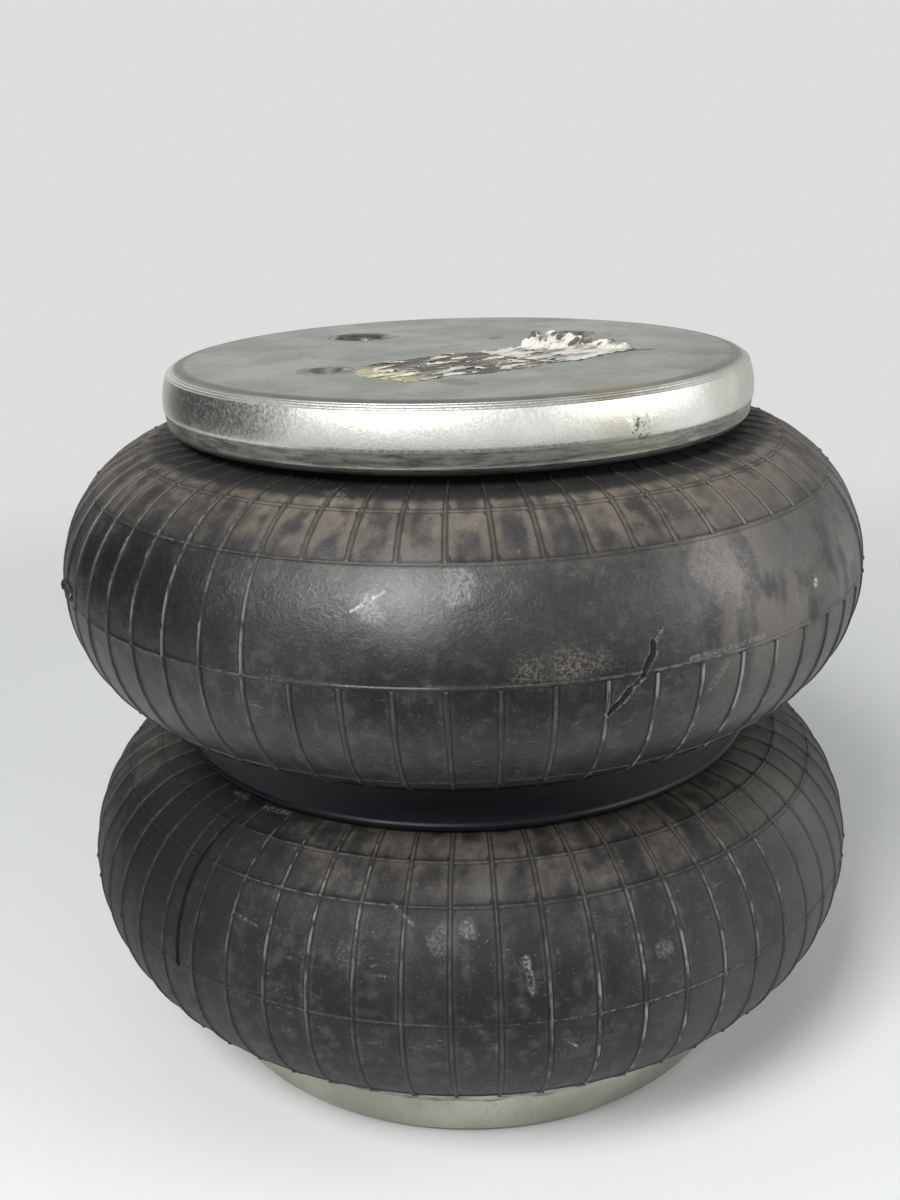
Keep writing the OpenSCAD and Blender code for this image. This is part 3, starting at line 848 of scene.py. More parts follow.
def patched(tree, tone, coords, patch, broken_up, patches_and_painted_light):
    """Patches as (azimuth, height, reach, colour, amount, kind). A kind in broken_up has its own grain. Some
    patches are painted shade and painted highlights rather than stains.
    """
    for azimuth, height_mm, reach, code, amount, kind in patches_and_painted_light:
        ragged = 1.4 if kind in ("haze", "mottled") else 2.6
        place = on_skin_at(azimuth, height_mm)
        mask = near_place(tree, coords, patch, place, reach, ragged, kind != "crust")
        if kind in broken_up:
            mask = overlap(tree, mask, broken_up[kind])
        tone = tint(tree, mask, tone, code, amount)
    return tone


def smeared(tree, tone, coords, fine, speckled, smears):
    """Smears as (start, end, reach, colour, amount), where start and end are (azimuth, height)."""
    for start, end, reach, code, amount in smears:
        ragged = 1.2 if reach < 1.5 else 2.6
        mask = near_line(tree, coords, fine, on_skin_at(*start), on_skin_at(*end), reach, ragged)
        tone = tint(tree, overlap(tree, mask, speckled), tone, code, amount)
    return tone


# %% Worn ribs and cracks, with painted shade and glints
def chafed_ribs_with_painted_glints(tree, tone, coords, patch, streak, worn_and_glint_places):
    """Painted shade darkens the foot of each rib. Its top is chafed a little, and pale round the worn
    places, where painted glints are laid in as well.
    """
    # Painted shade: the crevice at the foot of each rib and ring is darkened
    foot = add(tree, "Attribute", attribute_name="foot").outputs["Fac"]
    foot = add(tree, "MapRange", {0: foot, 1: 0.5, 2: 0.9, 4: 0.8}, interpolation_type="SMOOTHSTEP")
    tone = tint(tree, foot, tone, "#0f0f11")
    worn = add(tree, "Attribute", attribute_name="worn").outputs["Fac"]
    worn = add(tree, "MapRange", {0: worn, 1: 0.4, 2: 0.9}, interpolation_type="SMOOTHSTEP")
    tone = tint(tree, worn, tone, "#202022", 0.6)
    chafed_and_glint = add(tree, "MapRange", {0: streak, 1: 0.42, 2: 0.62, 3: 0.0, 4: 0.07},
                 interpolation_type="SMOOTHSTEP")
    # Round the worn places the rib tops are painted pale: partly scraped rubber, partly painted glints where
    # light catches the ribs
    scraped_and_glint = add(tree, "MapRange", {0: streak, 1: 0.43, 2: 0.6, 4: 0.85}, interpolation_type="SMOOTHSTEP")
    worn_and_glint_mask = None
    for azimuth, height_mm, reach, amount in worn_and_glint_places:
        here = near_place(tree, coords, patch, on_skin_at(azimuth, height_mm), reach, 0.6, True)
        here = overlap(tree, here, amount)
        worn_and_glint_mask = add(tree, "Math", {0: worn_and_glint_mask, 1: here}, operation="MAXIMUM") if worn_and_glint_mask else here
    scraped_and_glint = overlap(tree, scraped_and_glint, worn_and_glint_mask)
    chafed_and_glint = add(tree, "Math", {0: chafed_and_glint, 1: scraped_and_glint}, operation="MAXIMUM")
    return tint(tree, overlap(tree, worn, chafed_and_glint), tone, "#a19f98")


def cracked(tree, tone, coords, patch, fine, speckled, cracks):
    """Torn pale lips with a black core between them, the core painted shade for the depth of the cut.
    Returns the tone and the core.
    """
    for start, end, reach, lip_amount in cracks:
        if lip_amount:
            lip_mask = near_line(tree, coords, fine, on_skin_at(*start), on_skin_at(*end), reach * 1.6, 2.6)
            tone = tint(tree, overlap(tree, lip_mask, speckled), tone, "#9a978f", lip_amount)
    torn_and_shaded = None
    for start, end, reach, _ in cracks:
        core = near_line(tree, coords, patch, on_skin_at(*start), on_skin_at(*end), reach, 0.6)
        torn_and_shaded = add(tree, "Math", {0: core, 1: torn_and_shaded}, operation="MAXIMUM") if torn_and_shaded else core
    # The core is painted black: painted shade for the depth of the crack
    return tint(tree, torn_and_shaded, tone, "#060607", 0.97), torn_and_shaded


# %% Bellows rubber material
ribs = 60


def bellows_rubber(name, crest_height, rib_phase, dustiness, dullness, gloss, worn_and_glint_places, patches_and_painted_light, smears,
                   cracks):
    """Used carbon-black rubber with bloom, dust, rubbed fields, worn ribs, patches and cracks, with painted
    shade and highlights in its colour.
    """
    material, tree, shader = new_material(name, IOR=1.52, Specular_IOR_Level=gloss)
    coords = rest_coords(tree)
    parts = add(tree, "SeparateXYZ", {0: coords})
    angle = add(tree, "Math", {0: parts.outputs["Y"], 1: parts.outputs["X"]}, operation="ARCTAN2")
    # field is 0 on a rib and 1 halfway to the next one
    field = add(tree, "Math", {0: angle, 1: ribs / (2 * math.pi), 2: -rib_phase * ribs / 360},
                operation="MULTIPLY_ADD")
    field = add(tree, "Math", {0: field, 1: 0.5}, operation="PINGPONG")
    field = add(tree, "Math", {0: field, 1: 2.0}, operation="MULTIPLY")
    height = add(tree, "Math", {0: parts.outputs["Z"], 1: crest_height * MM}, operation="SUBTRACT")

    # Noise scales are per metre: 16 gives clouds of 60 mm, 130 patches of 8 mm, 700 grain of 1.4 mm
    broad = add(tree, "TexNoise", {"Vector": coords, "Scale": 16, "Detail": 3.0, "Roughness": 0.55})
    patch = add(tree, "TexNoise", {"Vector": coords, "Scale": 130, "Detail": 5.0, "Roughness": 0.66})
    fine = add(tree, "TexNoise", {"Vector": coords, "Scale": 700, "Detail": 4.0, "Roughness": 0.75})
    # Streaks and blots run up and down the wall: their patterns are stretched along the axis
    upright = add(tree, "Mapping", {"Vector": coords, "Scale": (1, 1, 0.2)})
    streak = add(tree, "TexNoise", {"Vector": upright, "Scale": 300, "Detail": 3.0, "Roughness": 0.6})
    tall = add(tree, "Mapping", {"Vector": coords, "Scale": (1, 1, 0.5)})
    blots = add(tree, "TexNoise", {"Vector": tall, "Scale": 62, "Detail": 4.0, "Roughness": 0.55})
    uneven = add(tree, "MapRange", {0: blots, 1: 0.4, 2: 0.56}, interpolation_type="SMOOTHSTEP")
    crusty = add(tree, "MapRange", {0: fine, 1: 0.4, 2: 0.62, 3: 0.1, 4: 1.0},
                 interpolation_type="SMOOTHSTEP")
    speckled = add(tree, "MapRange", {0: fine, 1: 0.44, 2: 0.6}, interpolation_type="SMOOTHSTEP")
    broken_up = {"crust": crusty, "specks": speckled, "mottled": uneven}

    tone = bloomed(tree, coords, angle, parts.outputs["Z"], broad, patch)
    tone, dust = dusty(tree, tone, field, height, patch, blots, uneven, dustiness)
    tone = speckled_over(tree, tone, coords, broad, fine)
    tone = patched(tree, tone, coords, patch, broken_up, patches_and_painted_light)
    tone = smeared(tree, tone, coords, fine, speckled, smears)
    tone = chafed_ribs_with_painted_glints(tree, tone, coords, patch, streak, worn_and_glint_places)
    tone, torn_and_shaded = cracked(tree, tone, coords, patch, fine, speckled, cracks)

    rough = add(tree, "MapRange", {0: fine, 1: 0.3, 2: 0.7, 3: dullness, 4: dullness + 0.16})
    rough = add(tree, "Mix", {0: dust, 2: rough, 3: 0.75}, data_type="FLOAT")
    rough = add(tree, "Mix", {0: torn_and_shaded, 2: rough, 3: 0.95}, data_type="FLOAT")
    relief = add(tree, "Math", {0: fine, 1: 0.55, 2: patch}, operation="MULTIPLY_ADD")
    surfaced(tree, shader, tone, rough, relief, 0.7, 0.0006)
    return material


# %% [markdown]
# ## The outer covers
#
# Each cover is the outer skin of one convolution. The mould gave it 60 ribs that run from
# bead to hoop, one every six degrees, and a few thin rings where the mould's plates met. On
# the crest of the upper convolution one long field has no ribs, and stays bare.
#
# The section is spun in 600 steps, ten to a rib. The rings are part of the section. A rib is
# one column of faces in ten: the inset operator narrows that strip and lifts it, which gives
# a straight-sided rib with a flat top. Its new faces are tagged as worn, and the border round
# it as its foot, where painted shade darkens the crevice. At the end the skin is shifted by a
# slow noise, because no moulded rubber is perfectly true.
#
# The rubber over the cord is only 1.1 mm thick under its skin, so the gash and the old crack
# are cut 0.9 mm deep, and the cord below stays covered. Their black core is painted shade,
# standing in for the depth of a real cut.

# %% Section of a cover with its mould rings
ring_h = 0.45
cover_t = 2.0


def ringed(centre_r, half_w, half_h, start, end, steps, rings):
    """An elliptical stretch round the crest; each ring is a ridge about 1.6 mm wide at its angle."""
    mean_r = (half_w + half_h) / 2
    base = math.degrees(0.8 / mean_r)
    top = math.degrees(0.3 / mean_r)
    stops = [(start + (end - start) * i / steps, 0) for i in range(steps + 1)]
    feet = [ring + side for ring in rings for side in (-base, base)]
    for ring in rings:
        stops = [s for s in stops if abs(s[0] - ring) > 1.6 * base]
        stops += [(ring - base, 0), (ring - top, ring_h), (ring + top, ring_h), (ring + base, 0)]
    stops.sort(key=lambda s: s[0] * (1 if end > start else -1))
    found = []
    for angle, lift in stops:
        a = math.radians(angle)
        mark = "top" if lift else "foot" if angle in feet else ""
        radius = centre_r + (half_w + lift) * math.cos(a)
        found.append((radius, crest_z + (half_h + lift) * math.sin(a), mark))
    return found


def cover_section(bead_rings, hoop_rings):
    """The lower cover's skin as (radius, height, mark) from bead to hoop, and its inner side."""
    depth = skin_depth
    fold = [(r, z, "") for r, z in arc(curl_centre_r, curl_z, fold_r + depth, fold_r + depth, 180, 90, 8)]
    bead_side = ringed(curl_centre_r, bead_w - depth, bead_h - depth, -90, 0, 22, bead_rings)[1:]
    hoop_side = ringed(groove_centre_r, hoop_w - depth, hoop_h - depth, 0, 90, 22, hoop_rings)[1:]
    groove = [(r, z, "") for r, z in arc(groove_centre_r, mid_z, groove_r + depth, groove_r + depth,
                                          -90, -179, 8, 1)]
    skin = [(fold[0][0], sheet, "")] + fold + bead_side + hoop_side + groove
    inner = ([(fold[0][0] + depth - cover_t, sheet)]
             + arc(curl_centre_r, curl_z, fold_r + cover_t, fold_r + cover_t, 180, 90, 4)
             + arc(curl_centre_r, crest_z, bead_w - cover_t, bead_h - cover_t, -90, 0, 10, 1)
             + arc(groove_centre_r, crest_z, hoop_w - cover_t, hoop_h - cover_t, 0, 90, 10, 1)
             + arc(groove_centre_r, mid_z, groove_r + cover_t, groove_r + cover_t, -90, -179, 4, 1))
    return skin, inner


# %% Spin a cover and raise its ribs
steps_per_rib = 10
cover_steps = ribs * steps_per_rib


def ribbed_cover(skin, inner, flip, rib_phase, bare):
    """A cover's bmesh. bare(azimuth, height) is True where the mould has no rib."""
    start = math.radians(rib_phase - 180 / cover_steps)
    points = [(r, z) for r, z, _ in skin] + inner[::-1]
    if flip:
        points = to_top(points)
    bm = bmesh.new()
    on_skin = bm.verts.layers.float.new("skin")
    worn = bm.verts.layers.float.new("worn")
    foot = bm.verts.layers.float.new("foot")
    ribbed = bm.verts.layers.float.new("ribbed")
    ring = bm.verts.layers.float.new("ring")
    verts = [bm.verts.new((r * math.cos(start), r * math.sin(start), z)) for r, z in points]
    for vert, (_, _, mark) in zip(verts, skin):
        vert[on_skin] = 1.0
        vert[worn] = 0.66 if mark == "top" else 0.0
        vert[ring] = 1.0 if mark == "top" else 0.0
        # A ring's foot gets painted shade, the dark of the crevice beside it
        vert[foot] = 0.84 if mark == "foot" else 0.0
    edges = [bm.edges.new((verts[i], verts[(i + 1) % len(verts)])) for i in range(len(verts))]
    bmesh.ops.spin(bm, geom=verts + edges, cent=(0, 0, 0), axis=(0, 0, 1), dvec=(0, 0, 0),
                   angle=2 * math.pi, steps=cover_steps, use_merge=True)
    bmesh.ops.remove_doubles(bm, verts=bm.verts[:], dist=0.001)
    bmesh.ops.recalc_face_normals(bm, faces=bm.faces[:])
    rib_faces = []
    for face in bm.faces:
        if min(v[on_skin] for v in face.verts) < 0.5:
            continue
        middle = face.calc_center_median()
        azimuth = math.degrees(math.atan2(middle.y, middle.x))
        column = math.floor((azimuth - math.degrees(start)) / (360 / cover_steps)) % cover_steps
        if abs(middle.z - mid_z) < groove_r + 0.3 or middle.xy.length < curl_centre_r - 6:
            continue
        if bare(azimuth, middle.z):
            continue
        for vert in face.verts:
            vert[ribbed] = 1.0
        if column % steps_per_rib == 0:
            rib_faces.append(face)
    # The border of each rib is its foot, where the material paints shade in the crevice
    for face in rib_faces:
        for vert in face.verts:
            vert[foot] = 1.0
    bmesh.ops.inset_region(bm, faces=rib_faces, thickness=0.58, depth=rib_h, use_boundary=True,
                           use_even_offset=True, use_interpolate=True)
    for face in rib_faces:
        for vert in face.verts:
            vert[worn] = 1.0
            vert[foot] = 0.0
            vert[ring] = 0.0
    print("rib faces", len(rib_faces))
    return bm


def carved(bm, path, half_w, depth):
    """Cuts a V along a path of (azimuth, height) points, in faces that are first made finer."""
    points = [on_skin_at(*point) / MM for point in path]

    def away(co):
        found = []
        for start, end in zip(points, points[1:]):
            share = (co - start).dot(end - start) / (end - start).length_squared
            found.append((co - start.lerp(end, min(max(share, 0.0), 1.0))).length)
        return min(found)

    on_skin = bm.verts.layers.float["skin"]
    near = [f for f in bm.faces if f.verts[0][on_skin] > 0.5 and away(f.calc_center_median()) < half_w + 2.2]
    bmesh.ops.subdivide_edges(bm, edges=list({e for f in near for e in f.edges}), cuts=4, use_grid_fill=True)
    bm.normal_update()
    moves = []
    for vert in bm.verts:
        if vert[on_skin] > 0.5 and abs(vert.co.z - points[0].z) < 80:
            ragged_w = half_w * (1 + 0.5 * noise.noise(vert.co / 2.5))
            share = 1 - away(vert.co) / ragged_w
            if share > 0:
                moves.append((vert, vert.normal * -depth * share))
    for vert, move in moves:
        vert.co += move
    print("carved vertices", len(moves))


def weathered(bm, seed, worn_side):
    """Shifts the skin by slow noise, 0.12 mm in or out and 0.6 mm along the girth, and wears the rings
    away round one azimuth."""
    on_skin = bm.verts.layers.float["skin"]
    ring = bm.verts.layers.float["ring"]
    bm.normal_update()
    for vert in bm.verts:
        if vert[on_skin] < 0.5:
            continue
        if vert[ring] > 0.5:
            azimuth = math.degrees(math.atan2(vert.co.y, vert.co.x))
            share = max(0.0, 1 - abs((azimuth - worn_side + 180) % 360 - 180) / 38)
            slow = 0.5 + noise.noise(vert.co / 45 + Vector((0, seed, 0)))
            press = max(0.9 * share * share * (3 - 2 * share), 0.3 * min(max(slow, 0.0), 1.0))
            vert.co -= vert.normal * ring_h * press
        co = vert.co
        out = Vector((co.x, co.y, 0)).normalized()
        along = Vector((-out.y, out.x, 0))
        slow = noise.noise(co / 38 + Vector((seed, 0, 0)))
        sway = noise.noise(Vector((co.x / 30, co.y / 30, co.z / 55 + seed)))
        vert.co = co + out * (0.12 * slow - 0.05) + along * 0.6 * sway


# %% [markdown]
# ### Places on the covers
#
# The two covers come from one mould drawing and differ only in their places: the angle at
# which the ribs start, the field that stays bare, the rings, and the two cuts. The gash was
# torn by something sharp. The old crack opened along a rib, where rubber that flexes gets
# tired first.

# %% Where the ribs, the rings and the cuts are
upper_crest_z = spring_h - crest_z
upper_phase = -0.5
lower_phase = -1.2
panel_from, panel_to = -155.5, -61
inner_ring_angle = -69.0
cut_depth = 0.9


def bare_upper(azimuth, height):
    """The long field without ribs on the crest of the upper convolution."""
    over_crest = height - upper_crest_z
    return panel_from < azimuth < panel_to and 1.5 < over_crest < 46


def bare_lower(azimuth, height):
    """The lower convolution has ribs all round."""
    return False


# Both cuts are paths of (azimuth in degrees, height in millimetres)
gash = [(-107.8, 265.5), (-108.9, 261.2), (-109.0, 256.7), (-110.0, 251.5), (-110.4, 247.8), (-111.9, 243.5),
        (-112.8, 239.6), (-114.3, 234.8)]
gash_reach = (0.9, 1.4, 1.5, 1.1, 0.9, 1.5, 1.3)
gash_lip = (0.5, 0.35, 0.3, 0.8, 0.7, 0.6, 0.8)
old_crack = [(-172.0, 161.0), (-171.8, 160.2), (-171.9, 158.4), (-172.2, 152.6), (-172.5, 142.5),
             (-172.3, 129.2), (-172.1, 116.0), (-171.9, 101.4)]

# On the lower convolution, above the crest means towards the hoop. Angles are on the section's ellipse.
ring_over_crest = 46.3
parting_over_crest = 2.5
ring_on_bead = -math.degrees(math.asin(ring_over_crest / bead_h))
ring_on_hoop = math.degrees(math.asin(ring_over_crest / hoop_h))
parting_on_bead = -math.degrees(math.asin(parting_over_crest / bead_h))
parting_on_hoop = math.degrees(math.asin(parting_over_crest / hoop_h))

# %% [markdown]
# ### What happened to this spring, and where painted light lies
#
# Every patch, smear, worn place and crack is listed with its place on the bellows, as an
# angle round the axis and a height. Move one of them and render again to see it go. Haze is a soft
# cloud, a mottled patch is broken up in drops, crust and specks follow the rubber's grain.
# The upper convolution took more dust and has the gash, and the lower one has the old crack
# that starts at the hoop. Some entries are painted light rather than wear: dark patches on
# the left are painted shade, and some pale patches and worn places are painted highlights
# and glints.

# %% Rubber of the upper cover
# Worn places, where the rib tops are painted pale: partly real wear, partly painted glints
worn_and_glint_upper = [(-101, 226, 50, 0.72), (-172, 282, 34, 0.5), (-160, 262, 28, 0.45)]
# The dark haze at -172 degrees is painted shade on the dim left side. The grey haze and pale spots round
# -137 degrees and 283 mm lie where the lamp's sheen falls on the bare field: partly scuffs, partly a painted
# highlight.
patches_and_painted_light_upper = [
    (-172, 275, 48, "#17171a", 0.8, "haze"), (-122, 262, 32, "#1b1b1d", 0.6, "haze"),
    (-90, 270, 36, "#787169", 0.6, "mottled"), (-97, 283, 15, "#8a8078", 0.35, "crust"),
    (-84, 268, 12, "#8d857b", 0.35, "crust"), (-70, 262, 20, "#736d66", 0.55, "mottled"),
    (-81.3, 264.6, 1.8, "#d2cdbd", 0.9, "crust"), (-137, 283, 14, "#8c8d8b", 0.3, "haze"),
    (-141, 279, 6, "#b0b1af", 0.4, "crust"), (-131, 286, 7, "#9c9d9b", 0.4, "crust"),
    (-104, 306, 8, "#242322", 0.7, "crust"), (-150, 311, 7, "#8a857b", 0.35, "crust"),
    (-131, 253.5, 7, "#0e0e11", 0.8, "haze"), (-126, 254, 7, "#0e0e11", 0.7, "haze"),
    (-119.5, 280, 8, "#131318", 0.7, "haze"), (-109, 279, 12, "#15151a", 0.65, "haze"),
    (-86, 280, 16, "#2a2a2e", 0.5, "haze"), (-151, 272, 16, "#131519", 0.6, "haze"),
    (-142, 258, 14, "#131417", 0.6, "haze"), (-123.5, 255.5, 5.5, "#7d7665", 0.42, "specks"),
    (-119, 256.5, 6, "#857d6a", 0.5, "specks"), (-115.5, 257.5, 4, "#7d7665", 0.38, "specks"),
    (-120, 256.5, 9, "#4b4740", 0.4, "crust"),
]
smears_upper = [
    ((-104, 251.5), (-93, 252.5), 1.4, "#9a978f", 0.35), ((-99, 246), (-101, 237), 2.0, "#8f8c85", 0.4),
    ((-143.2, 277.8), (-139.5, 284.5), 0.7, "#c9cac8", 0.5), ((-108, 300), (-95, 301), 2.5, "#1d1c1b", 0.7),
]
cracks_upper = list(zip(gash, gash[1:], gash_reach, gash_lip))
rubber_upper = bellows_rubber("chloroprene_cover_upper", upper_crest_z, upper_phase, 0.9, 0.3, 0.5,
                              worn_and_glint_upper, patches_and_painted_light_upper, smears_upper, cracks_upper)

# %% Rubber of the lower cover
# Worn places, where the rib tops are painted pale: partly real wear, partly painted glints
worn_and_glint_lower = [(-108, 96, 42, 0.75), (-152, 142, 40, 0.45), (-90, 130, 30, 0.45)]
# The dark patches at the top left, at -178, -170 and 176 degrees, are painted shade where the upper
# convolution shades the lower one. The black spot at -172 degrees is painted shade in the mouth of the old
# crack. The pale grey haze at the right, at -68 and -96 degrees, is partly haze and partly painted light.
patches_and_painted_light_lower = [
    (-68, 118, 46, "#5f5d5b", 0.5, "haze"), (-96, 88, 34, "#4c4c4f", 0.45, "haze"),
    (-72, 150, 20, "#6a6560", 0.4, "haze"), (-178, 142, 56, "#141417", 0.92, "haze"),
    (-170, 158, 34, "#141416", 0.8, "haze"), (176, 154, 36, "#141416", 0.8, "haze"),
    (-172, 160.6, 3.5, "#0a0a0b", 1.0, "haze"), (-134, 136, 6, "#8f8e8a", 0.3, "crust"),
    (-131, 139, 4, "#a3a29f", 0.3, "crust"), (-146, 128, 6, "#6c6b68", 0.3, "crust"),
    (-106, 122, 4, "#8c8b88", 0.35, "crust"), (-137, 119, 9, "#161618", 0.5, "haze"),
    (-128, 150, 8, "#626160", 0.3, "haze"),
]
smears_lower = [
    ((-168.9, 160.6), (-164.6, 160.8), 2.2, "#8a8884", 0.6),
    ((-178, 160.7), (-174.6, 160.6), 1.8, "#85837f", 0.5),
    ((-123.9, 128), (-123.3, 115), 1.9, "#8f8e88", 0.5),
    ((-152, 121), (-140, 121.5), 0.6, "#7d7c78", 0.45), ((-141, 146), (-138, 140), 0.9, "#a2a19d", 0.5),
    ((-128, 92), (-127, 84), 1.2, "#7f7d78", 0.4), ((-119, 90), (-118, 87), 0.6, "#c6c5c0", 0.7),
    ((-163, 133), (-159, 131), 0.8, "#7f7f7d", 0.4),
]
cracks_lower = [(start, end, 1.4, 0) for start, end in zip(old_crack, old_crack[1:])]
rubber_lower = bellows_rubber("chloroprene_cover_lower", crest_z, lower_phase, 0.42, 0.5, 0.31,
                              worn_and_glint_lower, patches_and_painted_light_lower, smears_lower, cracks_lower)

# %% Mesh of the upper cover
skin, inner = cover_section([inner_ring_angle, ring_on_bead, parting_on_bead], [ring_on_hoop])
bm = ribbed_cover(skin, inner, True, upper_phase, bare_upper)
carved(bm, gash, 1.5, cut_depth)
weathered(bm, seed=3.1, worn_side=163)
upper_cover = finished(bm, "upper_cover", rubber_upper, "top", sharp=34,
                       replaces=["upper_outer_cover"])

# %% [markdown]
# ### A scrap of flash
#
# A scrap of flash still hangs on the parting line at the left: rubber that was squeezed
# between the halves of the mould and torn off when the cover came out. It is a few small
# spheres, pushed out of shape by noise, that stand on the skin.

# %% Flash on the parting line
def flash_scrap(first, last, height, count, material, body):
    """A row of rough little lumps along the parting line between two angles."""
    bm = bmesh.new()
    for i in range(count):
        share = i / (count - 1)
        size = 2.0 + 1.2 * abs(noise.noise(Vector((i * 1.7, 0, 0))))
        up = height + 2.6 * noise.noise(Vector((0, i * 2.3, 4)))
        place = on_skin_at(first + (last - first) * share, up) / MM
        bmesh.ops.create_icosphere(bm, subdivisions=3, radius=size, matrix=Matrix.Translation(place))
    for vert in bm.verts:
        vert.co += Vector((1, 1, 1)) * 0.7 * noise.noise(vert.co / 1.3)
    return finished(bm, "parting_flash", material, body, sharp=60)


flash = flash_scrap(160, 165.6, 254.5, 9, rubber_upper, "top")

# %% [markdown]
# ### The lower cover
#
# It is made in the same way, but it isn't turned over to the top and has no bare field. Its
# rings lie on the side of the hoop, so on both covers they face up.

# %% Lower cover
skin, inner = cover_section([ring_on_bead], [parting_on_hoop, ring_on_hoop, -inner_ring_angle])
bm = ribbed_cover(skin, inner, False, lower_phase, bare_lower)
carved(bm, old_crack, 1.3, cut_depth)
weathered(bm, seed=8.4, worn_side=172)
lower_cover = finished(bm, "lower_cover", rubber_lower, "bottom", sharp=34,
                       replaces=["lower_outer_cover"])

# %% [markdown]
# ## Plies and liner
#
# Under the cover lie two plies of nylon cord in rubber, whose cords cross at a steep angle,
# and the smooth liner that holds the air. They don't show while the spring is whole, but a
# cut-away does show them. Their shape is right in the CAD model, so each one is a merged
# copy of its node.

# %% Cord and liner materials
def cord_ply(name, lean, base, cord):
    """Rubbered nylon cord. lean is +1 or -1 for the two directions in which the cords cross."""
    material, tree, shader = new_material(name, Roughness=0.62, IOR=1.5)
    coords = rest_coords(tree)
    parts = add(tree, "SeparateXYZ", {0: coords})
    angle = add(tree, "Math", {0: parts.outputs["Y"], 1: parts.outputs["X"]}, operation="ARCTAN2")
    # Real cords lie 1.1 mm apart: at a radius of 190 mm that is 1080 cords round the girth
    round_count = add(tree, "Math", {0: angle, 1: 1080 / (2 * math.pi)}, operation="MULTIPLY")
    climb = add(tree, "Math", {0: parts.outputs["Z"], 1: lean * 450, 2: round_count},
                operation="MULTIPLY_ADD")
    wave = add(tree, "Math", {0: climb, 1: 0.5}, operation="PINGPONG")
    ridge = add(tree, "MapRange", {0: wave, 1: 0.08, 2: 0.34}, interpolation_type="SMOOTHSTEP")
    tone = add(tree, "Mix", {0: ridge, 6: srgb(base), 7: srgb(cord)}, data_type="RGBA")
    surfaced(tree, shader, tone, relief=ridge, strength=0.6, distance=0.0003)
    return material


def smooth_rubber(name, dark, pale, grain_scale, roughness, bends=False):
    """Moulded or calendered rubber with a faint talc bloom."""
    material, tree, shader = new_material(name, IOR=1.52)
    coords = rest_coords(tree) if bends else add(tree, "TexCoord").outputs["Object"]
    talc = add(tree, "TexNoise", {"Vector": coords, "Scale": grain_scale, "Detail": 5.0, "Roughness": 0.6})
    mask = add(tree, "MapRange", {0: talc, 1: 0.4, 2: 0.72}, interpolation_type="SMOOTHSTEP")
    tone = add(tree, "Mix", {0: mask, 6: srgb(dark), 7: srgb(pale)}, data_type="RGBA")
    rough = add(tree, "MapRange", {0: talc, 1: 0.3, 2: 0.7, 3: roughness, 4: roughness + 0.15})
    surfaced(tree, shader, tone, rough, talc, 0.4, 0.0002)
    return material


outer_cord = cord_ply("rubbered_nylon_cord_outer", 1, "#3c372f", "#8a7a5e")
inner_cord = cord_ply("rubbered_nylon_cord_inner", -1, "#4a4438", "#a39677")
liner_rubber = smooth_rubber("butyl_liner", "#232425", "#43433f", 90, 0.4, True)


# %% Copies of the hidden layers
def copied(node, name, material, body):
    """A merged copy of a CAD node's mesh as a piece that stands for the node."""
    bm = bmesh.new()
    bm.from_mesh(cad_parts[node].data)
    bmesh.ops.remove_doubles(bm, verts=bm.verts[:], dist=0.000002)
    bmesh.ops.scale(bm, vec=(1 / MM, 1 / MM, 1 / MM), verts=bm.verts[:])
    return finished(bm, name, material, body, sharp=40, replaces=[node])


layers = [upper_cover, lower_cover, flash]
for half, body in (("upper", "top"), ("lower", "bottom")):
    layers.append(copied(f"{half}_outer_ply", f"{half}_ply_outer", outer_cord, body))
    layers.append(copied(f"{half}_inner_ply", f"{half}_ply_inner", inner_cord, body))
    layers.append(copied(f"{half}_inner_liner", f"{half}_liner", liner_rubber, body))

# %% [markdown]
# ## Each layer gets its own mesh
#
# Each layer of the bellows, and the scrap of flash, gets its own copy of its mesh.

# %% Give the layers their own meshes
for piece in layers:
    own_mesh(piece)

# %% [markdown]
# ## The girdle hoop
#
# The hoop is one moulded ring of glass-filled polyamide, black and satin-smooth. Its black is
# made darker still as painted shade, since the hoop lies in the shade of the upper convolution.
# Its back is round, to fit the waist of the bellows, and its outer face lies between two small
# lips. The section is turned, and the bevel operator rounds the lips' edges.

# %% Hoop material and mesh
def moulded_polyamide(name):
    """Black glass-filled polyamide, darkened further as painted shade: satin, with faint flow lines round
    the ring and a little dust.
    """
    material, tree, shader = new_material(name, IOR=1.53, Specular_IOR_Level=0.25)
    coords = add(tree, "TexCoord").outputs["Object"]
    flow = add(tree, "Mapping", {"Vector": coords, "Scale": (1, 1, 7)})
    lines = add(tree, "TexNoise", {"Vector": flow, "Scale": 70, "Detail": 4.0})
    dust = add(tree, "TexNoise", {"Vector": coords, "Scale": 420, "Detail": 3.0, "Roughness": 0.7})
    mask = add(tree, "MapRange", {0: dust, 1: 0.6, 2: 0.78, 4: 0.3}, interpolation_type="SMOOTHSTEP")
    # Both blacks are made darker as painted shade, for a hoop that lies in shade
    tone = add(tree, "Mix", {0: lines, 6: srgb("#0a0c11"), 7: srgb("#11151c")}, data_type="RGBA")
    tone = tint(tree, mask, tone, "#303337")
    rough = add(tree, "MapRange", {0: lines, 1: 0.3, 2: 0.7, 3: 0.34, 4: 0.48})
    surfaced(tree, shader, tone, rough, lines, 0.25, 0.0002)
    return material


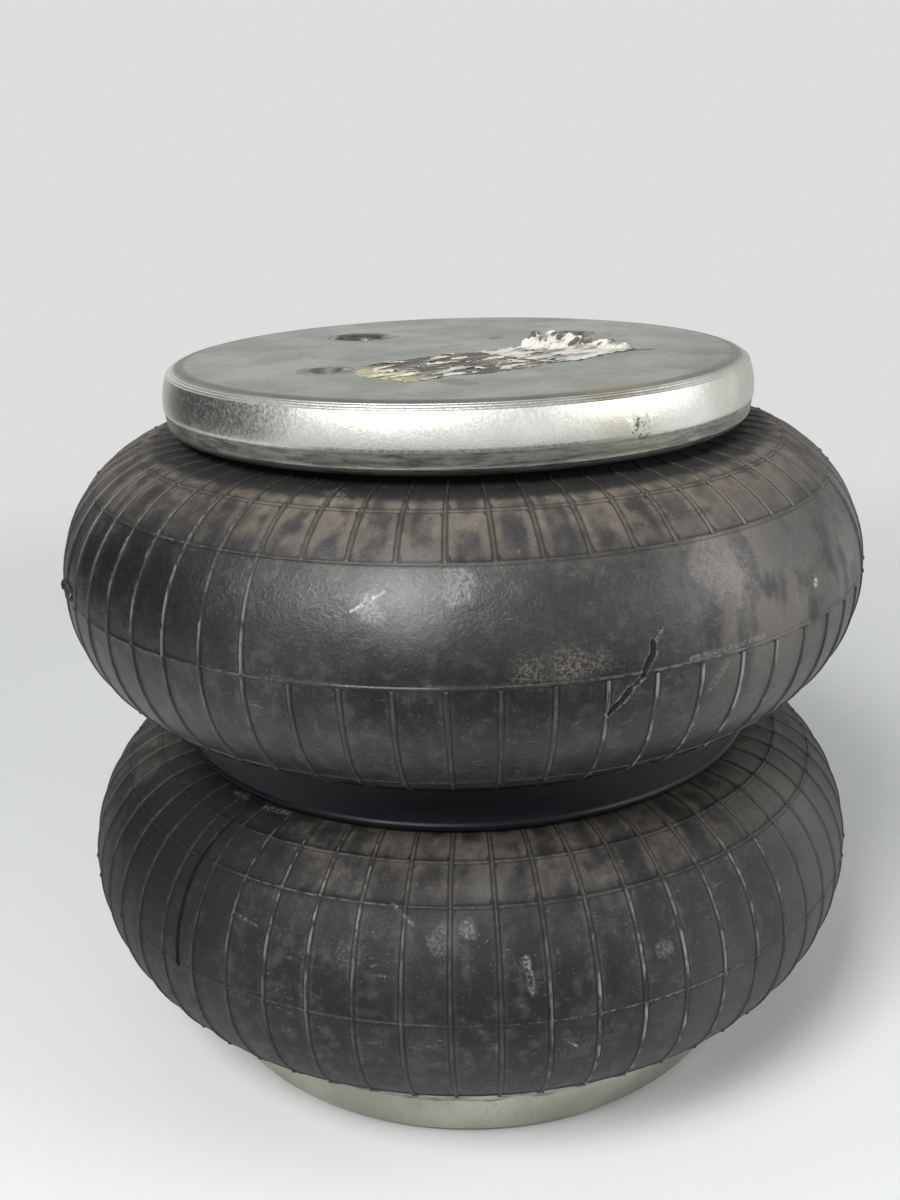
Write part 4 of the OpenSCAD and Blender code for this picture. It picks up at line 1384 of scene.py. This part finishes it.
hoop_half_h = 10.5
lip = 0.9
lip_h = 2 * lip
back_r = groove_r - hoop_gap
hoop_section = arc(groove_centre_r, mid_z, back_r, back_r, 90, 270, 28) + [
    (hoop_r - lip_h, mid_z - back_r), (hoop_r, mid_z - hoop_half_h),
    (hoop_r, mid_z + lip_h - hoop_half_h), (hoop_r - lip, mid_z + lip_h + lip - hoop_half_h),
    (hoop_r - lip, mid_z + hoop_half_h - lip_h - lip), (hoop_r, mid_z + hoop_half_h - lip_h),
    (hoop_r, mid_z + hoop_half_h), (hoop_r - lip_h, mid_z + back_r)]
bm = turned(hoop_section, 256)
lip_edges = [e for e in bm.edges if abs(e.verts[0].co.z - e.verts[1].co.z) < 0.01
             and abs(e.verts[0].co.xy.length - e.verts[1].co.xy.length) < 0.01
             and e.verts[0].co.xy.length > hoop_r - lip_h - 0.1]
bmesh.ops.bevel(bm, geom=lip_edges, offset=0.35, offset_type="OFFSET", segments=2, profile=0.5,
                affect="EDGES", material=-1)
finished(bm, "hoop_ring", moulded_polyamide("glass_filled_polyamide_painted_shade"), "hoop", sharp=40,
         replaces=["girdle_hoop"])

# %% [markdown]
# ## The remains of a paper label
#
# A label was once glued to the plate's face. What is left is torn: a backing layer grey with
# dirt and glue, a white upper layer with holes, and at one end a flap that has peeled up. The
# paper is 0.15 mm thick. Each layer starts as a grid, loses the cells outside a torn outline,
# and is then wrinkled, lifted along the flap and given its thickness.

# %% Paper material
def torn_paper(name, pale, grey, dirty):
    """Torn, handled paper: fibres run along the label, dirt lies in clouds, one end is yellowed."""
    material, tree, shader = new_material(name, IOR=1.5, Roughness=0.9)
    coords = add(tree, "TexCoord").outputs["Object"]
    along = add(tree, "Mapping", {"Vector": coords, "Scale": (0.25, 1, 1), "Rotation": (0, 0, 0.12)})
    fibres = add(tree, "TexNoise", {"Vector": along, "Scale": 620, "Detail": 4.0, "Roughness": 0.7})
    clouds = add(tree, "TexNoise", {"Vector": along, "Scale": 150, "Detail": 4.0, "Roughness": 0.6})
    mask = add(tree, "MapRange", {0: clouds, 1: dirty, 2: dirty + 0.16}, interpolation_type="SMOOTHSTEP")
    tone = add(tree, "Mix", {0: mask, 6: srgb(pale), 7: srgb(grey)}, data_type="RGBA")
    thread = add(tree, "MapRange", {0: fibres, 1: 0.5, 2: 0.66, 4: 0.6}, interpolation_type="SMOOTHSTEP")
    tone = tint(tree, thread, tone, grey)
    left_end = add(tree, "SeparateXYZ", {0: coords}).outputs["X"]
    left_end = add(tree, "MapRange", {0: left_end, 1: -0.052, 2: -0.068, 4: 0.5})
    tone = tint(tree, left_end, tone, "#c9c49c")
    surfaced(tree, shader, tone, relief=fibres, strength=0.7, distance=0.0003)
    return material


# %% Outline, flap and layers
label_front = [(-79, -30), (-75, -54), (-63, -57), (-50, -56), (-39, -64), (-13, -66), (3, -65), (15, -69),
               (37, -66), (58, -67)]
label_back = [(-79, -16), (-66, -4), (-47, -3), (-36, -3), (-20, -6), (-7, -6), (4, -14), (16, -15),
              (24, -20), (38, -16), (58, -60)]
sheet_l, sheet_w = 146, 76
sheet_centre = (-8, -36, 0)
paper_t = 0.15
flap_rise = 7.0
nut_clear_r = 15.5
crease_start = Vector((22, -19))
crease_end = Vector((60, -67))
crease_side = Vector((crease_start.y - crease_end.y, crease_end.x - crease_start.x)).normalized()


def edge_y(points, x):
    """The outline's y at an x, or None beyond its ends."""
    for (x0, y0), (x1, y1) in zip(points, points[1:]):
        if x0 <= x <= x1:
            return y0 + (y1 - y0) * (x - x0) / max(x1 - x0, 0.001)
    return None


def past_crease(x, y):
    """How far a point of the label lies behind the crease of the flap, in millimetres."""
    return max(0.0, (Vector((x, y)) - crease_start).dot(crease_side))


def uneven_at(x, y, long, short, seed):
    """Noise over the label, with features that are long along it and short across it."""
    return noise.noise(Vector((x / long, y / short, seed)))


def label_layer(name, material, cell, torn_share, base_height, seed):
    """One layer of the label. torn_share is the part of its left half that is torn away."""
    bm = bmesh.new()
    columns, rows = round(sheet_l / cell), round(sheet_w / cell)
    bmesh.ops.create_grid(bm, x_segments=columns, y_segments=rows, size=0.5)
    bmesh.ops.scale(bm, vec=(sheet_l, sheet_w, 1), verts=bm.verts[:])
    bmesh.ops.translate(bm, verts=bm.verts[:], vec=sheet_centre)
    outside = []
    for face in bm.faces:
        x, y, _ = face.calc_center_median()
        ragged = 1.8 * uneven_at(x, y, 5, 5, seed) + 0.9 * uneven_at(x, y, 1.7, 1.7, seed)
        low, high = edge_y(label_front, x), edge_y(label_back, x)
        gone = low is None or high is None or y < low + ragged or y > high + ragged * 1.6
        hole = uneven_at(x, y, 14, 6, seed + 5) + 0.4 * uneven_at(x, y, 4, 2, seed)
        limit = 0.5 - torn_share * (1.0 if x < 2 else 0.25)
        if gone or hole > limit or math.hypot(x + nut_x, y) < nut_clear_r:
            outside.append(face)
    bmesh.ops.delete(bm, geom=outside, context="FACES")
    edge = [v for v in bm.verts if v.is_boundary]
    for _ in range(3):
        bmesh.ops.smooth_vert(bm, verts=edge, factor=0.5, use_axis_x=True, use_axis_y=True, use_axis_z=False)
    for vert in bm.verts:
        x, y, _ = vert.co
        wrinkle = uneven_at(x, y, 9, 4, seed) + 0.5 * uneven_at(x, y, 3, 1.5, seed)
        lift = 0.35 * max(0.0, wrinkle) + (0.5 * abs(wrinkle) if vert.is_boundary else 0)
        flap = min(past_crease(x, y) / 15, 1.0)
        rise = flap_rise * math.sin(flap * math.pi / 2) * (1 + 0.25 * wrinkle)
        lean = crease_side * -4.5 * flap * flap
        vert.co = (x + lean.x, y + lean.y, spring_h + base_height + lift + rise)
    bmesh.ops.recalc_face_normals(bm, faces=bm.faces[:])
    bmesh.ops.solidify(bm, geom=bm.faces[:], thickness=paper_t)
    bmesh.ops.recalc_face_normals(bm, faces=bm.faces[:])
    return finished(bm, name, material, "top", sharp=60)


backing_paper = torn_paper("torn_paper_backing", "#8d8a80", "#55524a", 0.36)
white_paper = torn_paper("torn_paper_white", "#d0cec5", "#85827a", 0.46)
label_layer("label_backing", backing_paper, cell=1.3, torn_share=0.15, base_height=0.06, seed=2.0)
label_layer("label_upper_layer", white_paper, cell=1.0, torn_share=0.62, base_height=0.32, seed=9.0)

# %% [markdown]
# ## The parts that stay as they are
#
# The bead wires, the bead rubber and the bump stop with its stud have the right shape in the
# CAD model. They only get a finish: brass-coated wire laid in a bundle, so its strands run
# round the ring, hard bead rubber that the press has marked, a bonded rubber block that
# bloomed, and zinc-plated hardware. A material is assigned to the CAD object's own slots.

# %% Materials for wire and small steel parts
def wire_bundle(name):
    """Brass-coated bead wire: strands 1.2 mm thick that run round the ring, dull between them."""
    material, tree, shader = new_material(name, Metallic=1.0)
    coords = add(tree, "TexCoord").outputs["Object"]
    parts = add(tree, "SeparateXYZ", {0: coords})
    flat = add(tree, "VectorMath", {0: coords, 1: (1, 1, 0)}, operation="MULTIPLY")
    radius = add(tree, "VectorMath", {0: flat}, operation="LENGTH").outputs["Value"]
    # The same number of strands crosses every section, so the pattern only depends on radius and height
    across = add(tree, "Math", {0: radius, 1: parts.outputs["Z"]}, operation="ADD")
    strands = add(tree, "Math", {0: across, 1: 850.0}, operation="MULTIPLY")
    strands = add(tree, "Math", {0: strands, 1: 0.5}, operation="PINGPONG")
    strands = add(tree, "MapRange", {0: strands, 1: 0.02, 2: 0.3}, interpolation_type="SMOOTHSTEP")
    stain = add(tree, "TexNoise", {"Vector": coords, "Scale": 120, "Detail": 4.0})
    stain = add(tree, "MapRange", {0: stain, 1: 0.4, 2: 0.65}, interpolation_type="SMOOTHSTEP")
    bright = add(tree, "Mix", {0: stain, 6: srgb("#a98a58"), 7: srgb("#7c6342")}, data_type="RGBA")
    tone = add(tree, "Mix", {0: strands, 6: srgb("#2c231a"), 7: bright.outputs[2]}, data_type="RGBA")
    rough = add(tree, "MapRange", {0: stain, 3: 0.3, 4: 0.55})
    surfaced(tree, shader, tone, rough, strands, 0.8, 0.0004)
    return material


def plated_hardware(name, pale, stained):
    """Zinc-plated small steel parts: spangled, with white rust in clouds and a fine grain."""
    material, tree, shader = new_material(name, Metallic=1.0)
    coords = add(tree, "TexCoord").outputs["Object"]
    clouds = add(tree, "TexNoise", {"Vector": coords, "Scale": 90, "Detail": 4.0, "Roughness": 0.6})
    clouds = add(tree, "MapRange", {0: clouds, 1: 0.38, 2: 0.66}, interpolation_type="SMOOTHSTEP")
    grain = add(tree, "TexNoise", {"Vector": coords, "Scale": 900, "Detail": 3.0, "Roughness": 0.7})
    tone = add(tree, "Mix", {0: clouds, 6: srgb(pale), 7: srgb(stained)}, data_type="RGBA")
    spots = add(tree, "MapRange", {0: grain, 1: 0.62, 2: 0.74, 4: 0.5}, interpolation_type="SMOOTHSTEP")
    tone = tint(tree, spots, tone, "#5f5d56")
    rough = add(tree, "MapRange", {0: clouds, 3: 0.3, 4: 0.55})
    surfaced(tree, shader, tone, rough, grain, 0.3, 0.0001)
    return material


# %% Assign them to the CAD nodes
bead_wire = wire_bundle("brass_coated_bead_wire")
bead_rubber = smooth_rubber("hard_bead_rubber", "#161617", "#343330", 150, 0.45)
block_rubber = smooth_rubber("natural_rubber_block", "#191817", "#3b3833", 48, 0.55)
zinc_small = plated_hardware("zinc_plated_hardware", "#c9c9c2", "#98988f")
zinc_disc = plated_hardware("zinc_plated_disc", "#b3b3ab", "#83837b")
finishes = {
    "top_bead_wire": bead_wire, "bottom_bead_wire": bead_wire,
    "top_bead_rubber": bead_rubber, "bottom_bead_rubber": bead_rubber,
    "bump_stop": block_rubber, "bump_stop_base": zinc_disc,
    "bump_stop_stud": zinc_small, "bump_stop_washer": zinc_small, "bump_stop_nut": zinc_small,
}
for node, material in finishes.items():
    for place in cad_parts[node].material_slots:
        place.material = material
print("CAD nodes with a finish of their own", len(finishes))
